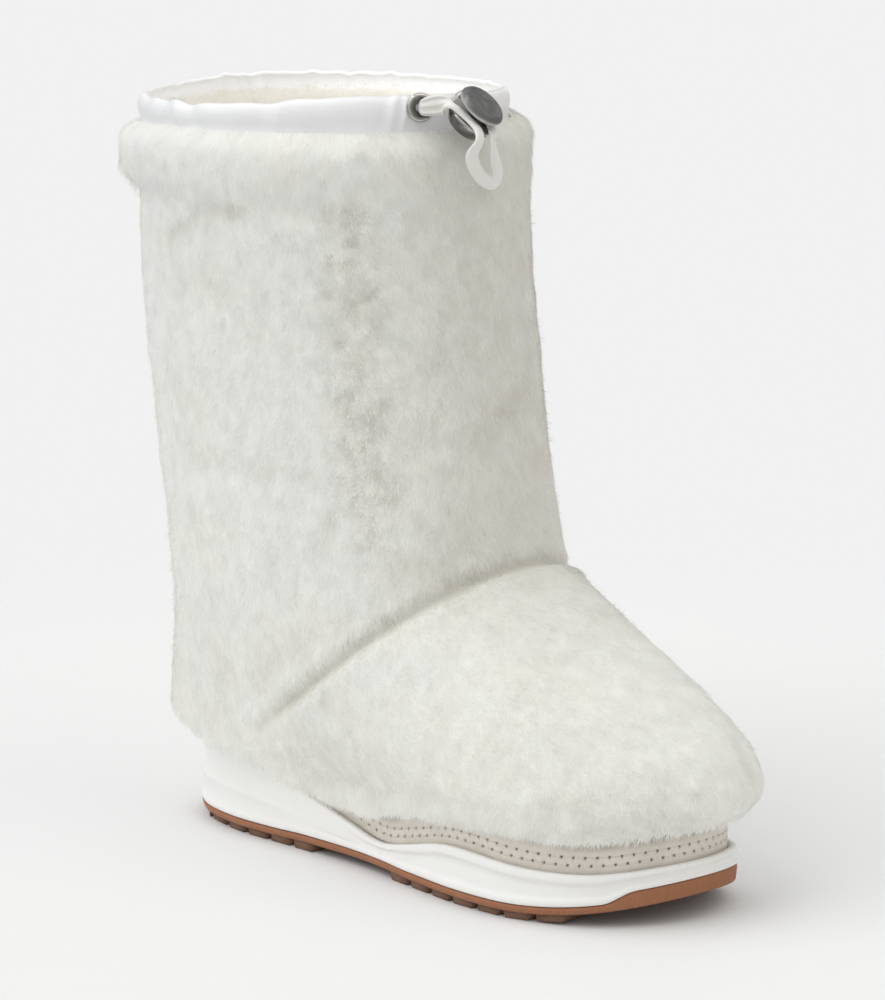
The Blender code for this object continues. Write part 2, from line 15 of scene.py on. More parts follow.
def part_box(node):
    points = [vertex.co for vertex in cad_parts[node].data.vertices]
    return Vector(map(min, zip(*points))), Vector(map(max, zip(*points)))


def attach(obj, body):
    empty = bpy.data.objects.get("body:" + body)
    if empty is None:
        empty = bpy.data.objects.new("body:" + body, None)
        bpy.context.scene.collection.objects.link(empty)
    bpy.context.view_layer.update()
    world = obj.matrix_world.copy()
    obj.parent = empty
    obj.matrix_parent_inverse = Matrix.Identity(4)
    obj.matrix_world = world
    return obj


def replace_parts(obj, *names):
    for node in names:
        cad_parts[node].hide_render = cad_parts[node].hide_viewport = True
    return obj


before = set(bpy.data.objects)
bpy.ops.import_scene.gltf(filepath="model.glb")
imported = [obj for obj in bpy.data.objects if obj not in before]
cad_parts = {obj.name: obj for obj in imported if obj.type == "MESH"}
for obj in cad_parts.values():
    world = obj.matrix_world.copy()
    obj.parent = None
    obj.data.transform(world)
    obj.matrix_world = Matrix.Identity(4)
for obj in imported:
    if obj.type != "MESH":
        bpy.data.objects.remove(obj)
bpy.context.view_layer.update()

METRE = 0.001
SEED = 7
BOOT = "boot"
BUTTON = "lock_button"


def table(columns, *rows):
    """Rows of numbers with named columns."""
    row_of = namedtuple("Row", columns)
    return [row_of(*row) for row in rows]


# Camera at the photograph's angle and scale, with the one boot in the middle
IMAGE = (885, 1000)
FOCAL_PIXELS = 5640.0
SENSOR = 36.0
CAMERA_AZIMUTH = 45.0
CAMERA_ELEVATION = 12.0
CAMERA_DISTANCE = 2.4
AIM_POINT = (0.0, 0.0, 0.155)
AIM_PIXEL = (433.0, 501.6)

# Sole sizes
SOLE_LENGTH = 285.0
BALL_HALF = 52.0
LUG_HEIGHT = 3.2
OUTSOLE_BAND = 3.3
BUMPER_RISE = 4.0
BUMPER_STEP = (264.0, 274.0)
BUMPER_SLACK = 0.8
TOE_SPRING = 8.5
TOE_SPRING_FROM = 218.0
ARCH_RISE = 0.6
ARCH = (92.0, 142.0)
FLOOR_HEEL = 16.0
FLOOR_TOE = 12.5
MIDSOLE_LIP = 3.6
LIP_OVER = 0.9
MIDSOLE_STEP = 1.3
RAND_THICK = 1.8
RAND_UNDER = 0.6
INSOLE_THICK = 4.0
CLEAR = 0.35
SEAT_GAP = CLEAR + 0.25
HEEL_TIP_Y = 0.0
EASE = 9.0
TOE_TIP_Y = 9.0

# Half-widths of the sole to each side at a distance along it
SOLE_STATIONS = table(
    "along lateral medial",
    (4, 15, 14), (18, 29, 27), (45, 37, 34), (85, 38, 34), (125, 40, 35), (160, 46, 42), (195, 51.5, 49),
    (225, 51, 53), (252, 42, 51), (270, 28, 42), (281, 10, 27),
)

# Heights along the sole: the midsole's lip and the fur's hem
SIDE_LEVELS = table(
    "along lip hem",
    (-10, 40.0, 40.5), (30, 39.0, 39.5), (60, 35.0, 35.5), (84, 28.5, 30.0), (110, 20.8, 26.0),
    (139, 13.4, 26.5), (160, 18.2, 33.0), (184, 24.5, 36.0), (204, 25.0, 38.0), (230, 22.8, 38.5),
    (250, 22.2, 36.5), (266, 22.8, 36.5), (280, 25.5, 39.5), (300, 28.5, 41.0),
)

# Rings of the fur surface: heights at the back, the side, the instep and the front, the ends along x,
# the half-width, and how far the plan follows the sole outline (1) or an ellipse (0)
Ring = namedtuple("Ring", "z_back z_side z_instep z_front x_back x_front half foot")
FOOT_RINGS = [
    Ring(35, 35, 44, 48, -9, 296, 60, 1.00),
    Ring(36, 38, 53, 62, -10, 290, 61.5, 1.00),
    Ring(37, 41, 61, 77, -10.5, 274, 62.5, 0.97),
    Ring(38, 44, 71, 93, -11, 250, 63, 0.92),
    Ring(39, 46.5, 81, 111, -11.5, 222, 63, 0.84),
    Ring(40, 49, 92, 125, -11.5, 200, 63, 0.74),
]
SEAM_RING = Ring(41, 51, 103, 136, -11.5, 181.5, 63.5, 0.64)
SHAFT_RINGS = [
    Ring(55, 66, 115, 146, -11, 179, 65, 0.50),
    Ring(84, 93, 133, 159, -7, 178.5, 67, 0.32),
    Ring(120, 126, 156, 176, -7, 177.5, 69, 0.16),
    Ring(165, 168, 186, 199, -12, 174.5, 71, 0.05),
    Ring(212, 214, 222, 228, -17.5, 170.5, 72.5, 0.00),
    Ring(256, 259, 262, 264, -21, 166, 73.5, 0.00),
    Ring(278, 282, 284, 285, -22, 164, 73, 0.00),
    Ring(291, 297, 300, 301, -31.5, 163.5, 76.5, 0.00),
    Ring(302, 309, 312, 313, -31, 162, 76, 0.00),
    Ring(307.5, 315, 318, 319, -25, 156, 71, 0.00),
]
RING_STEPS = [2] * 7 + [1] * 6 + [2] * 3
SEAM_ROW = 2 + sum(RING_STEPS[: len(FOOT_RINGS)])
SIDE_AT = 0.4
INSTEP_AT = 0.8
WALL = 10.0
EDGE_SHARES = [0.95, 0.8, 0.6, 0.42, 0.28]
HEM_LIP = 3.0
HEM_OUT = 4.5
SEAM_DEPTH = 3.2
SEAM_HALF = 2.4
SEAM_PILLOW = 0.8
SEAM_FADE = (66.0, 112.0)

# Soft creases of the fur, each a path on the surface with its depth and half-width, and its gentle lumps
CREASES = table(
    "path depth half",
    ([(46, -71, 269), (58, -73, 276), (70, -73, 283), (86, -72, 285.5)], 1.3, 5.0),
    ([(174.5, -14, 190), (174, -4, 197), (172.6, 11, 205), (170, 22, 209)], 0.8, 5.5),
    ([(46, -66, 173), (70, -69, 175), (96, -69, 174), (121, -64.4, 178)], 0.45, 7.0),
    ([(50, -66, 162), (70, -69, 165), (96, -69, 163.5), (112, -67, 167)], -0.4, 5.0),
    ([(278, 33.6, 69), (288, 31.5, 58)], 1.0, 4.5),
    ([(-9, 10, 140), (20, 55, 150), (60, 68, 158)], 0.8, 6.0),
    ([(150, 50, 250), (110, 66, 246), (70, 70, 250)], 0.6, 7.0),
)
# Painted shade in the fur's tone: darker in the seam, by depth in a crease, up the front, and low on the
# side
SEAM_SHADE = 0.75
CREASE_SHADE = 0.3
FRONT_SHADE = 0.34
FRONT_FROM = (math.radians(-50), math.radians(-10))
FRONT_ABOVE = (95.0, 135.0)
SIDE_SHADE = 0.26
SIDE_BELOW = (40.0, 170.0)
LUMPS = table(
    "size depth seed",
    (24, 0.5, 11), (10, 0.3, 12), (5, 0.14, 13),
)

# Parting: a rough upright band at the shaft's front corner where the fur falls to both sides
PARTING_AT = math.radians(-47)
PARTING_HALF = math.radians(5.5)
PARTING_SPAN = (145.0, 300.0)
PARTING_TOP = (285.0, 300.0)
PARTING_DEPTH = 0.5

# Collar: how far it tucks down (rings), stands up and gathers; rows go up its outside
COLLAR_WALL = 2.4
COLLAR_TUCK = 5
# How high the collar stands above the fur's edge, at angles round it from the front by the medial side
COLLAR_RISES = table(
    "degrees height",
    (-160, 15.0), (-125, 12.4), (-95, 11.2), (-70, 13.4), (-45, 16.8), (-20, 16.3), (-4, 15.8),
    (45, 12.4), (88, 11.0), (120, 12.7), (158, 16.6),
)
COLLAR_ROWS = table(
    "rise out",
    (0.25, -0.4), (0.50, 0.2), (0.72, 0.2), (0.90, -0.7), (1.00, -2.4),
)

# Eyelets in the collar, the cord lock before them and its cord
HARDWARE_AT = math.radians(-12)
EYELET_LATERAL_AT = math.radians(-20.5)
EYELET_MEDIAL_AT = math.radians(-3.5)
EYELET_ROW = COLLAR_TUCK + 2
CAD_AROUND = 40
LOCK_CENTRE = (169.0, -13.8, 325.4)
LOCK_AXIS = (0.656, 0.2, 0.729)
CORD_WIDTH = 5.6
CORD_THICK = 2.2
CORD_FROM_EYELET = 0.6
CORD_STRAIGHT = 4.0
CORD_BUNCHED = 4.2
CORD_FANNED = 7.2
CORD_FAN_LOOKS = 50.0
# The cord's way over the lock's plate from each eyelet: places across the plate, along it and above it, and
# how wide it lies there
LATERAL_WAY = table(
    "side run above wide",
    (-9.2, -11.2, -3.4, 9.0), (-11.2, -6.4, 1.45, 4.6), (-8.6, -1.0, 1.45, 4.4), (-7.6, 4.0, 1.45, 4.4),
    (-8.2, 8.4, 1.45, 4.8), (-9.8, 12.0, -0.6, 5.4),
)
MEDIAL_WAY = table(
    "side run above wide",
    (10.9, -6.4, 1.45, 4.8), (7.2, -1.5, 1.45, 4.4), (5.0, 4.0, 1.45, 4.4), (2.4, 9.4, 1.45, 4.6),
    (-0.4, 13.4, -0.4, 4.8),
)
# Its hanging loop: places, and the way its flat side looks, in degrees round the boot
LOOP_POINTS = table(
    "x y z looks",
    (176, -21, 310.9, 62), (172.8, -16.2, 304.6, 52), (170.5, -9, 298.7, 52), (169.8, -2.4, 296.4, 74),
    (171, -0.8, 300.9, 92), (174.2, -6, 307.9, 98),
)

# How wide the painted highlight along a metal edge is
HIGHLIGHT_HALF = 0.9

# Fur: the grid that carries it, and how far its skin lies under the outer envelope
FUR_AROUND = 320
FUR_CELL = 1.8
SKIN_UNDER = 1.5
SEAM_SKIN = 3.0
SEAM_SKIN_HALF = 6.0
# The back of the heel, where the rings lie close together: heights and lengths that it fades over
HEEL_BELOW = (62.0, 84.0)
HEEL_BEHIND = (75.0, 115.0)
NOISE_CELLS = 64
FOOT_CALM = 5
SPLINE_ABOVE = (60.0, 84.0)
LINING_CALM = 25


# Shapes shared with the part's source


def smoothstep(lo, hi, x):
    t = np.clip((np.asarray(x, float) - lo) / (hi - lo), 0, 1)
    return t * t * (3 - 2 * t)


def unit(vectors):
    return vectors / np.maximum(np.linalg.norm(vectors, axis=-1, keepdims=True), 1e-9)


def ring_angles(around):
    return np.linspace(0, 2 * math.pi, around, endpoint=False)


def level_out(rings):
    """Level outward unit normals of rings."""
    return unit(np.cross(np.roll(rings, -1, -2) - np.roll(rings, 1, -2), (0, 0, 1)))


def bump(distance, half):
    """A smooth hump, 1 at no distance, that fades over about a half-width."""
    return np.exp(-((np.asarray(distance, float) / half) ** 2))


def between(p0, p1, p2, p3, t):
    """A smooth curve's point a share t of the way from p1 to p2, with its neighbours p0 and p3."""
    linear = p2 - p0
    square = 2 * p0 - 5 * p1 + 4 * p2 - p3
    cube = 3 * (p1 - p2) + p3 - p0
    return p1 + 0.5 * t * (linear + t * (square + t * cube))


def closed_spline(points, steps=12):
    """Dense points of a smooth closed curve through the given ones."""
    p = np.asarray(points, float)
    before, after, beyond = np.roll(p, 1, 0), np.roll(p, -1, 0), np.roll(p, -2, 0)
    t = np.linspace(0, 1, steps, endpoint=False)[None, :, None]
    curve = between(*(q[:, None, :] for q in (before, p, after, beyond)), t)
    return curve.reshape(-1, p.shape[1])


def run_along(path):
    """Distance travelled along an open path at each of its points."""
    return np.concatenate([[0], np.cumsum(np.linalg.norm(np.diff(path, axis=0), axis=1))])


def spread(path, shares):
    """Points at given shares of an open path's length."""
    run = run_along(path)
    return np.stack([np.interp(shares * run[-1], run, path[:, k]) for k in range(path.shape[1])], 1)


def sole_outline(shares):
    """The sole's plan, from the toe tip round the medial side, the heel and the lateral side.

    Shares, from 0 at the toe tip to 1 at the heel tip, place the points of each half.
    """
    medial = [(s.along, s.medial) for s in reversed(SOLE_STATIONS)]
    lateral = [(s.along, -s.lateral) for s in SOLE_STATIONS]
    steps = 12
    dense = closed_spline([(SOLE_LENGTH, TOE_TIP_Y)] + medial + [(0.0, HEEL_TIP_Y)] + lateral, steps)
    heel = (len(medial) + 1) * steps
    first = spread(dense[: heel + 1], shares)
    second = spread(np.vstack([dense[heel:], dense[:1]]), 1 - shares[::-1])
    return np.vstack([first[:-1], second[:-1]])


def even(count):
    """Even shares for a plan of so many points all round."""
    return np.linspace(0, 1, count // 2 + 1)


def inset(plan, distance):
    """The plan moved inward by a distance, along its own normals."""
    normal = level_out(np.column_stack([plan, np.zeros(len(plan))]))[:, :2]
    return plan - normal * np.asarray(distance, float).reshape(-1, 1)


def eased(x, at, values, period=None):
    """A table's values at x, smoothed between its rows."""
    offsets = np.linspace(-EASE, EASE, 7)
    return np.mean([np.interp(x + d, at, values, period=period) for d in offsets], axis=0)


def level(column, x):
    """A column of the side table at x."""
    values = [getattr(row, column) for row in SIDE_LEVELS]
    return eased(np.asarray(x, float), [row.along for row in SIDE_LEVELS], values)


def toe_rise(x, power):
    """How far the sole curls up towards the toe tip."""
    share = (np.asarray(x, float) - TOE_SPRING_FROM) / (SOLE_LENGTH - TOE_SPRING_FROM)
    return TOE_SPRING * np.clip(share, 0, 1.2) ** power


def tread_z(x):
    """Underside of the outsole between the lugs."""
    arch = ARCH_RISE * smoothstep(ARCH[0] - 22, ARCH[0], x) * (1 - smoothstep(ARCH[1], ARCH[1] + 22, x))
    heel = 2.5 * (1 - smoothstep(0, 22, x))
    return LUG_HEIGHT + arch + toe_rise(x, 2.3) + heel


def band_z(x):
    """Joint between the outsole and the midsole, inside the edge."""
    return tread_z(x) + OUTSOLE_BAND


def edge_z(x):
    """The same joint as it shows at the edge, where the bumper wraps up round the toe."""
    return band_z(x) + BUMPER_RISE * smoothstep(*BUMPER_STEP, x)


def floor_z(x):
    """Top of the midsole inside its lip."""
    return FLOOR_HEEL + (FLOOR_TOE - FLOOR_HEEL) * smoothstep(60, 190, x) + 0.85 * toe_rise(x, 2)


def cup_floor(x):
    """The same, kept under the lip where the lip is low."""
    return np.minimum(level("lip", x) - LIP_OVER, floor_z(x))


def cubic(t, at, values):
    """The cubic through four points."""
    total = 0
    for j, value in enumerate(values):
        others = [a for k, a in enumerate(at) if k != j]
        total = total + value * math.prod([(t - a) / (at[j] - a) for a in others])
    return total


def ring_points(row, outline):
    """One closed ring of the fur surface."""
    angle = ring_angles(len(outline))
    round_x, round_y = (1 + np.cos(angle)) / 2, np.sin(angle)
    share = row.foot * outline[:, 0] / SOLE_LENGTH + (1 - row.foot) * round_x
    across = row.foot * outline[:, 1] / BALL_HALF + (1 - row.foot) * round_y
    x = row.x_back + share * (row.x_front - row.x_back)
    z = cubic(share, (0, SIDE_AT, INSTEP_AT, 1), (row.z_back, row.z_side, row.z_instep, row.z_front))
    return np.stack([x, across * row.half, z], 1)


def smooth_rows(rows, steps):
    """Rows between the given ones, on a smooth curve through them: steps from each row to the next."""
    p = np.asarray(rows, float)
    ends = np.concatenate([[2 * p[0] - p[1]], p, [2 * p[-1] - p[-2]]])
    made = []
    for k, count in enumerate(np.broadcast_to(steps, len(p) - 1)):
        made += [between(*ends[k : k + 4], t) for t in np.arange(count) / count]
    return np.array(made + [p[-1]])


def straight_rows(rows, steps):
    """The same rows as smooth_rows, on straight lines between the given ones."""
    at = np.concatenate([k + np.arange(count) / count for k, count in enumerate(steps)] + [[len(steps)]])
    low = np.minimum(at.astype(int), len(steps) - 1)
    share = (at - low)[:, None, None]
    return rows[low] * (1 - share) + rows[low + 1] * share


def grid_normals(grid):
    """Outward unit normals of a grid of rings that climbs from the hem."""
    around = np.roll(grid, -1, 1) - np.roll(grid, 1, 1)
    return unit(np.cross(around, np.gradient(grid, axis=0)))


def heel_share(grid):
    """How much each place on the pelt belongs to the back of the heel, from 0 to 1."""
    behind = 1 - smoothstep(*HEEL_BEHIND, grid[:, :, 0])
    return (behind * (1 - smoothstep(*HEEL_BELOW, grid[:, :, 2])))[:, :, None]


def fur_normals(grid):
    """Outward unit normals of the pelt, which are level at the heel."""
    share = heel_share(grid)
    return unit(grid_normals(grid) * (1 - share) + level_out(grid) * share)


def fur_rings(around):
    """The CAD's rings of the fur's outer surface from the hem to the top edge, without the seam."""
    outline = sole_outline(even(around))
    hem_plan = inset(outline, -HEM_OUT)
    hem_z = level("hem", hem_plan[:, 0])
    hem = np.column_stack([hem_plan, hem_z])
    hem_top = np.column_stack([hem_plan, hem_z + HEM_LIP])
    rows = smooth_rows(FOOT_RINGS + [SEAM_RING] + SHAFT_RINGS, RING_STEPS)
    rings = [ring_points(Ring(*row), outline) for row in rows]
    lowest = hem_top[:, 2] + 1.5
    for k, ring in enumerate(rings):
        ring[:, 2] = np.maximum(ring[:, 2], lowest + 0.7 * k)
    return np.array([hem, hem_top] + rings)


def wall_shares(rings):
    """Share of the wall's thickness at each ring: full up the shaft, thinning over the rolled edge."""
    return np.array([1.0] * (rings - len(EDGE_SHARES)) + EDGE_SHARES)


def collar_rise(angle):
    """Height of the collar's rim above the fur's edge at an angle round it."""
    heights = [row.height for row in COLLAR_RISES]
    return eased(np.degrees(angle), [row.degrees for row in COLLAR_RISES], heights, 360)


def collar_rings(rings):
    """Rings of the collar's outer side: tucked against the wall's inside, then standing above the fur."""
    shares = wall_shares(len(rings))
    inside = rings - grid_normals(rings) * (WALL * shares[:, None, None] + CLEAR + 0.15)
    painted_hem_shadow = list(inside[-COLLAR_TUCK:])
    base = painted_hem_shadow[-1]
    out = level_out(base)
    rise = collar_rise(ring_angles(rings.shape[1]))
    standing = [base + out * row.out + np.outer(rise * row.rise, (0, 0, 1)) for row in COLLAR_ROWS]
    return np.array(painted_hem_shadow + standing)


def on_grid(grid, row, angle):
    """A point of a ring grid and its outward direction, at a whole row and any angle."""
    at = (angle % (2 * math.pi)) / (2 * math.pi) * grid.shape[1]
    k, part = int(at), at - int(at)
    normals = grid_normals(grid)
    n = (k + 1) % grid.shape[1]
    point = grid[row, k] * (1 - part) + grid[row, n] * part
    normal = normals[row, k] * (1 - part) + normals[row, n] * part
    return Vector(point), Vector(normal).normalized()


def facing(point, normal):
    """A placement with its z along a direction."""
    return Matrix.Translation(point) @ normal.to_track_quat("Z", "Y").to_matrix().to_4x4()


def lock_frame():
    """The cord lock's centre and its directions: axis out of the button, run of the cord, and side."""
    axis = Vector(LOCK_AXIS).normalized()
    level_way = Vector((axis.x, axis.y, 0)).normalized()
    run = (level_way * axis.z - Vector((0, 0, 1)) * level_way.dot(axis)).normalized()
    side = Vector((0, 0, 1)).cross(level_way)
    return Vector(LOCK_CENTRE), axis, run, side


# The back tip of the midsole is where x is 0
ORIGIN = np.array([-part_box("midsole")[0].x / METRE, 0.0, 0.0])


def to_metres(points):
    return (np.asarray(points, float) - ORIGIN) * METRE


def soft_noise(points, size, seed):
    """Smooth random values, -1 to 1, over points in space, with features of about a size."""
    table = np.random.default_rng(seed).uniform(-1, 1, (NOISE_CELLS,) * 3)
    at = np.asarray(points, float) / size
    base = np.floor(at).astype(int)
    part = at - base
    part = part * part * (3 - 2 * part)
    total = np.zeros(at.shape[:-1])
    for corner in np.ndindex(2, 2, 2):
        index = (base + corner) % NOISE_CELLS
        weight = np.prod(np.where(np.array(corner) == 1, part, 1 - part), axis=-1)
        total += weight * table[index[..., 0], index[..., 1], index[..., 2]]
    return total


# Meshes


def add_object(name, data):
    made = bpy.data.objects.new(name, data)
    bpy.context.scene.collection.objects.link(made)
    return made


def add_part(name, mesh, material, body=BOOT):
    """A mesh made into a piece that rides on a body."""
    mesh.materials.append(material)
    piece = add_object(name, mesh)
    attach(piece, body)
    return piece


def add_piece(name, points, faces, material, slot, body=BOOT):
    """A smooth mesh piece from points in millimetres."""
    mesh = bpy.data.meshes.new(name)
    mesh.from_pydata(to_metres(points).tolist(), [], faces)
    mesh.polygons.foreach_set("use_smooth", np.ones(len(mesh.polygons), bool))
    mesh.update()
    return add_part(name, mesh, material, body)


def add_values(piece, name, values):
    """One number for each point of a piece, for its material to read."""
    layer = piece.data.attributes.new(name, "FLOAT", "POINT")
    layer.data.foreach_set("value", np.asarray(values, np.float32).ravel())


def ring_faces(rings, around, start=0):
    """Quads between neighbouring rings of one grid."""
    j, k = np.meshgrid(np.arange(rings - 1), np.arange(around), indexing="ij")
    n = (k + 1) % around
    a, b = start + j * around + k, start + j * around + n
    faces = np.stack([a, b, b + around, a + around], -1)
    return faces.reshape(-1, 4).tolist()


def looped(rings):
    """Points and faces of rings joined in turn, the last of them to the first."""
    rings = np.asarray(rings)
    count, around = rings.shape[:2]
    faces = np.array(ring_faces(count + 1, around)) % (count * around)
    return rings.reshape(-1, 3), faces.tolist()


def ladder_faces(start, around, flip=False):
    """A cap across a ring that is paired side to side, from the toe tip to the heel tip."""
    half = around // 2
    left = [start + k for k in range(half + 1)]
    right = [start + (around - k) % around for k in range(half + 1)]
    faces = [(left[0], left[1], right[1])]
    for k in range(1, half - 1):
        faces.append((left[k], left[k + 1], right[k + 1], right[k]))
    faces.append((left[half - 1], left[half], right[half - 1]))
    return [face[::-1] for face in faces] if flip else faces


def stacked(plan, layers):
    """Points and faces of a solid of sole rings, each a (distance in, height) of the plan, capped."""
    around = len(plan)
    rings = [np.column_stack([inset(plan, d), z]) for d, z in layers]
    faces = ring_faces(len(rings), around)
    faces += ladder_faces(0, around, flip=True) + ladder_faces((len(rings) - 1) * around, around)
    return np.vstack(rings), faces


def lathe(name, profile, place, material, slot, body, edge, steps=64):
    """A turned piece: (radius, height) points up the outside, turned about the local z of place."""
    points, faces, rows, painted_highlight = [], [], [], []
    for radius, height in profile:
        # Painted highlight near the profile's given edge point
        near = float(bump(math.hypot(radius - edge[0], height - edge[1]), HIGHLIGHT_HALF))
        painted_highlight += [near] * (1 if radius == 0 else steps)
        if radius == 0:
            rows.append([len(points)])
            points.append(place @ Vector((0, 0, height)))
            continue
        rows.append(list(range(len(points), len(points) + steps)))
        for k in range(steps):
            a = 2 * math.pi * k / steps
            points.append(place @ Vector((radius * math.cos(a), radius * math.sin(a), height)))
    closed = profile[0][0] > 0
    pairs = list(zip(rows, rows[1:])) + ([(rows[-1], rows[0])] if closed else [])
    for low, high in pairs:
        for k in range(steps):
            a, b = low[k % len(low)], low[(k + 1) % len(low)]
            c, d = high[(k + 1) % len(high)], high[k % len(high)]
            faces.append(tuple(dict.fromkeys((a, b, c, d))))
    piece = add_piece(name, points, faces, material, slot, body)
    add_values(piece, "edge", np.array(painted_highlight))
    return piece


def rounded(profile, radius, steps=3):
    """A turned profile with its inner corners rounded, for edges that catch the light."""
    p = [np.array(q, float) for q in profile]
    made = [p[0]]
    for before, corner, after in zip(p, p[1:], p[2:]):
        reach = min(radius, np.linalg.norm(before - corner) * 0.45, np.linalg.norm(after - corner) * 0.45)
        start = corner + (before - corner) / np.linalg.norm(before - corner) * reach
        end = corner + (after - corner) / np.linalg.norm(after - corner) * reach
        for t in np.linspace(0, 1, steps + 1):
            made.append(start * (1 - t) ** 2 + corner * 2 * t * (1 - t) + end * t * t)
    return [tuple(q) for q in made + [p[-1]]]


def tube(path, side_way, width, thick, around):
    """Points and faces of a flat cord along a path, its broad side along side_way at each point."""
    path = np.asarray(path, float)
    run = unit(np.gradient(path, axis=0))
    broad = unit(side_way - run * np.sum(run * side_way, 1, keepdims=True))
    thin = np.cross(run, broad)
    angle = ring_angles(around)
    square = np.sign(np.cos(angle)) * np.abs(np.cos(angle)) ** 0.7
    half = np.broadcast_to(np.asarray(width, float) / 2, len(path))
    ring = broad[:, None] * (square[None, :, None] * half[:, None, None])
    ring = ring + thin[:, None] * (np.sin(angle)[None, :, None] * thick / 2)
    points = (path[:, None] + ring).reshape(-1, 3)
    last = (len(path) - 1) * around
    faces = ring_faces(len(path), around)
    faces += [tuple(range(around - 1, -1, -1)), tuple(range(last, last + around))]
    return points, faces


# Materials


class Nodes:
    """A node tree being made, with short ways to add nodes and fill their sockets."""

    def __init__(self, owner):
        owner.use_nodes = True
        self.nodes = owner.node_tree.nodes
        self.links = owner.node_tree.links

    def add(self, kind, operation=None, **inputs):
        node = self.nodes.new("ShaderNode" + kind)
        if operation:
            node.operation = operation
        for socket, value in inputs.items():
            self.put(node.inputs[socket.replace("_", " ")], value)
        return node

    def put(self, socket, value):
        if isinstance(value, bpy.types.NodeSocket):
            self.links.new(value, socket)
        else:
            socket.default_value = value

    def mix(self, share, first, second):
        """A colour a share of the way from the first to the second."""
        node = self.nodes.new("ShaderNodeMix")
        node.data_type = "RGBA"
        self.put(node.inputs[0], share)
        for index, color in ((6, first), (7, second)):
            self.put(node.inputs[index], (*color, 1) if isinstance(color, tuple) else color)
        return node.outputs[2]


class Surface(Nodes):
    """A material being made: a Principled shader and short ways to add what drives it."""

    def __init__(self, name, color, roughness, **sockets):
        self.material = bpy.data.materials.new(name)
        super().__init__(self.material)
        self.shader = self.nodes["Principled BSDF"]
        self.set("Base Color", (*color, 1))
        self.set("Roughness", roughness)
        for socket, value in sockets.items():
            self.set(socket.replace("_", " "), value)

    def place(self, stretch=(1, 1, 1)):
        """The object's own coordinates in millimetres, stretched along its axes."""
        mapping = self.add("Mapping", Vector=self.add("TexCoord").outputs["Object"])
        mapping.inputs["Scale"].default_value = [s / METRE for s in stretch]
        return mapping.outputs["Vector"]

    def noise(self, size, detail=3.0, stretch=(1, 1, 1), roughness=0.55):
        """Noise from 0 to 1 with features of about a size in millimetres."""
        node = self.add("TexNoise", Vector=self.place(stretch), Scale=1 / size, Detail=detail)
        node.inputs["Roughness"].default_value = roughness
        return node.outputs["Fac"]

    def value(self, name):
        """One of the piece's own numbers."""
        node = self.add("Attribute")
        node.attribute_name = name
        return node.outputs["Fac"]

    def span(self, value, low, high, to_low=0.0, to_high=1.0):
        """A number carried smoothly from one span to another."""
        node = self.add("MapRange", Value=value, From_Min=low, From_Max=high, To_Min=to_low, To_Max=to_high)
        node.interpolation_type = "SMOOTHSTEP"
        return node.outputs["Result"]

    def times(self, first, second):
        node = self.add("Math", "MULTIPLY")
        self.put(node.inputs[0], first)
        self.put(node.inputs[1], second)
        return node.outputs["Value"]

    def mottled(self, size, detail, first, second):
        """A colour that wanders between two, in patches of about a size."""
        return self.mix(self.noise(size, detail), first, second)

    def grain(self, size, detail, depth, strength):
        """Fine relief of about a size, and its depth in millimetres."""
        self.relief(self.noise(size, detail), depth, strength)

    def rough(self, size, detail, low, high):
        """Roughness that wanders between two, in patches of about a size."""
        self.set("Roughness", self.span(self.noise(size, detail), 0.3, 0.7, low, high))

    def set(self, socket, value):
        self.put(self.shader.inputs[socket], value)

    def relief(self, height, depth, strength=1.0):
        """Bump from a height of 0 to 1, its depth in millimetres, on top of any bump already there."""
        node = self.add("Bump", Height=height, Distance=depth * METRE, Strength=strength)
        if self.shader.inputs["Normal"].is_linked:
            self.links.new(self.shader.inputs["Normal"].links[0].from_socket, node.inputs["Normal"])
        self.links.new(node.outputs["Normal"], self.shader.inputs["Normal"])


def fur_material(name, tip, root):
    """Sheared fur: darker and warmer at the roots, each hair a little lighter or darker than the next, with
    painted shade in its tone.
    """
    fur = Surface(name, tip, 0.85, Specular_IOR_Level=0.15, Sheen_Weight=0.25, Sheen_Roughness=0.5)
    warm = tuple(a * b for a, b in zip(tip, (1.0, 0.99, 0.965)))
    patches = fur.span(fur.noise(26, 2), 0.38, 0.68)
    lit = fur.mix(patches, tip, warm)
    # The tone holds painted shade as well as the hair's own root-to-tip colour
    fur.set("Base Color", fur.mix(fur.value("tone_and_painted_shade"), root, lit))
    return fur.material


def skin_material(name, color):
    """The hide under the fur, mottled, with a fine felted grain, and darkened by painted shade in the seam
    and creases.
    """
    skin = Surface(name, color, 0.95, Specular_IOR_Level=0.1, Sheen_Weight=0.2)
    dark = tuple(0.9 * c for c in color)
    # Painted shade: the hide's colour where it lies in shade
    deep = tuple(0.55 * c for c in color)
    skin.set("Base Color", skin.mix(skin.value("painted_shade"), skin.mottled(2.2, 4, dark, color), deep))
    skin.grain(1.2, 4, 1.0, 0.6)
    return skin.material


def midsole_material():
    """White moulded foam: a fine satin skin with faint mottling."""
    foam = Surface("white_foam", (0.92, 0.92, 0.905), 0.5, Specular_IOR_Level=0.4)
    foam.set("Base Color", foam.mottled(18, 4, (0.86, 0.853, 0.832), (0.90, 0.897, 0.88)))
    foam.rough(7, 3, 0.42, 0.58)
    foam.grain(0.7, 3, 0.12, 0.4)
    return foam.material


def outsole_material():
    """Gum rubber: warm brown, duller and darker down in the tread."""
    gum = Surface("gum_rubber", (0.30, 0.13, 0.065), 0.55, Specular_IOR_Level=0.4)
    body = gum.mottled(14, 5, (0.31, 0.125, 0.058), (0.375, 0.16, 0.078))
    tread = gum.mottled(6, 4, (0.13, 0.075, 0.05), (0.18, 0.105, 0.07))
    gum.set("Base Color", gum.mix(gum.value("side"), tread, body))
    gum.rough(5, 3, 0.45, 0.68)
    gum.grain(0.6, 3, 0.15, 0.5)
    return gum.material


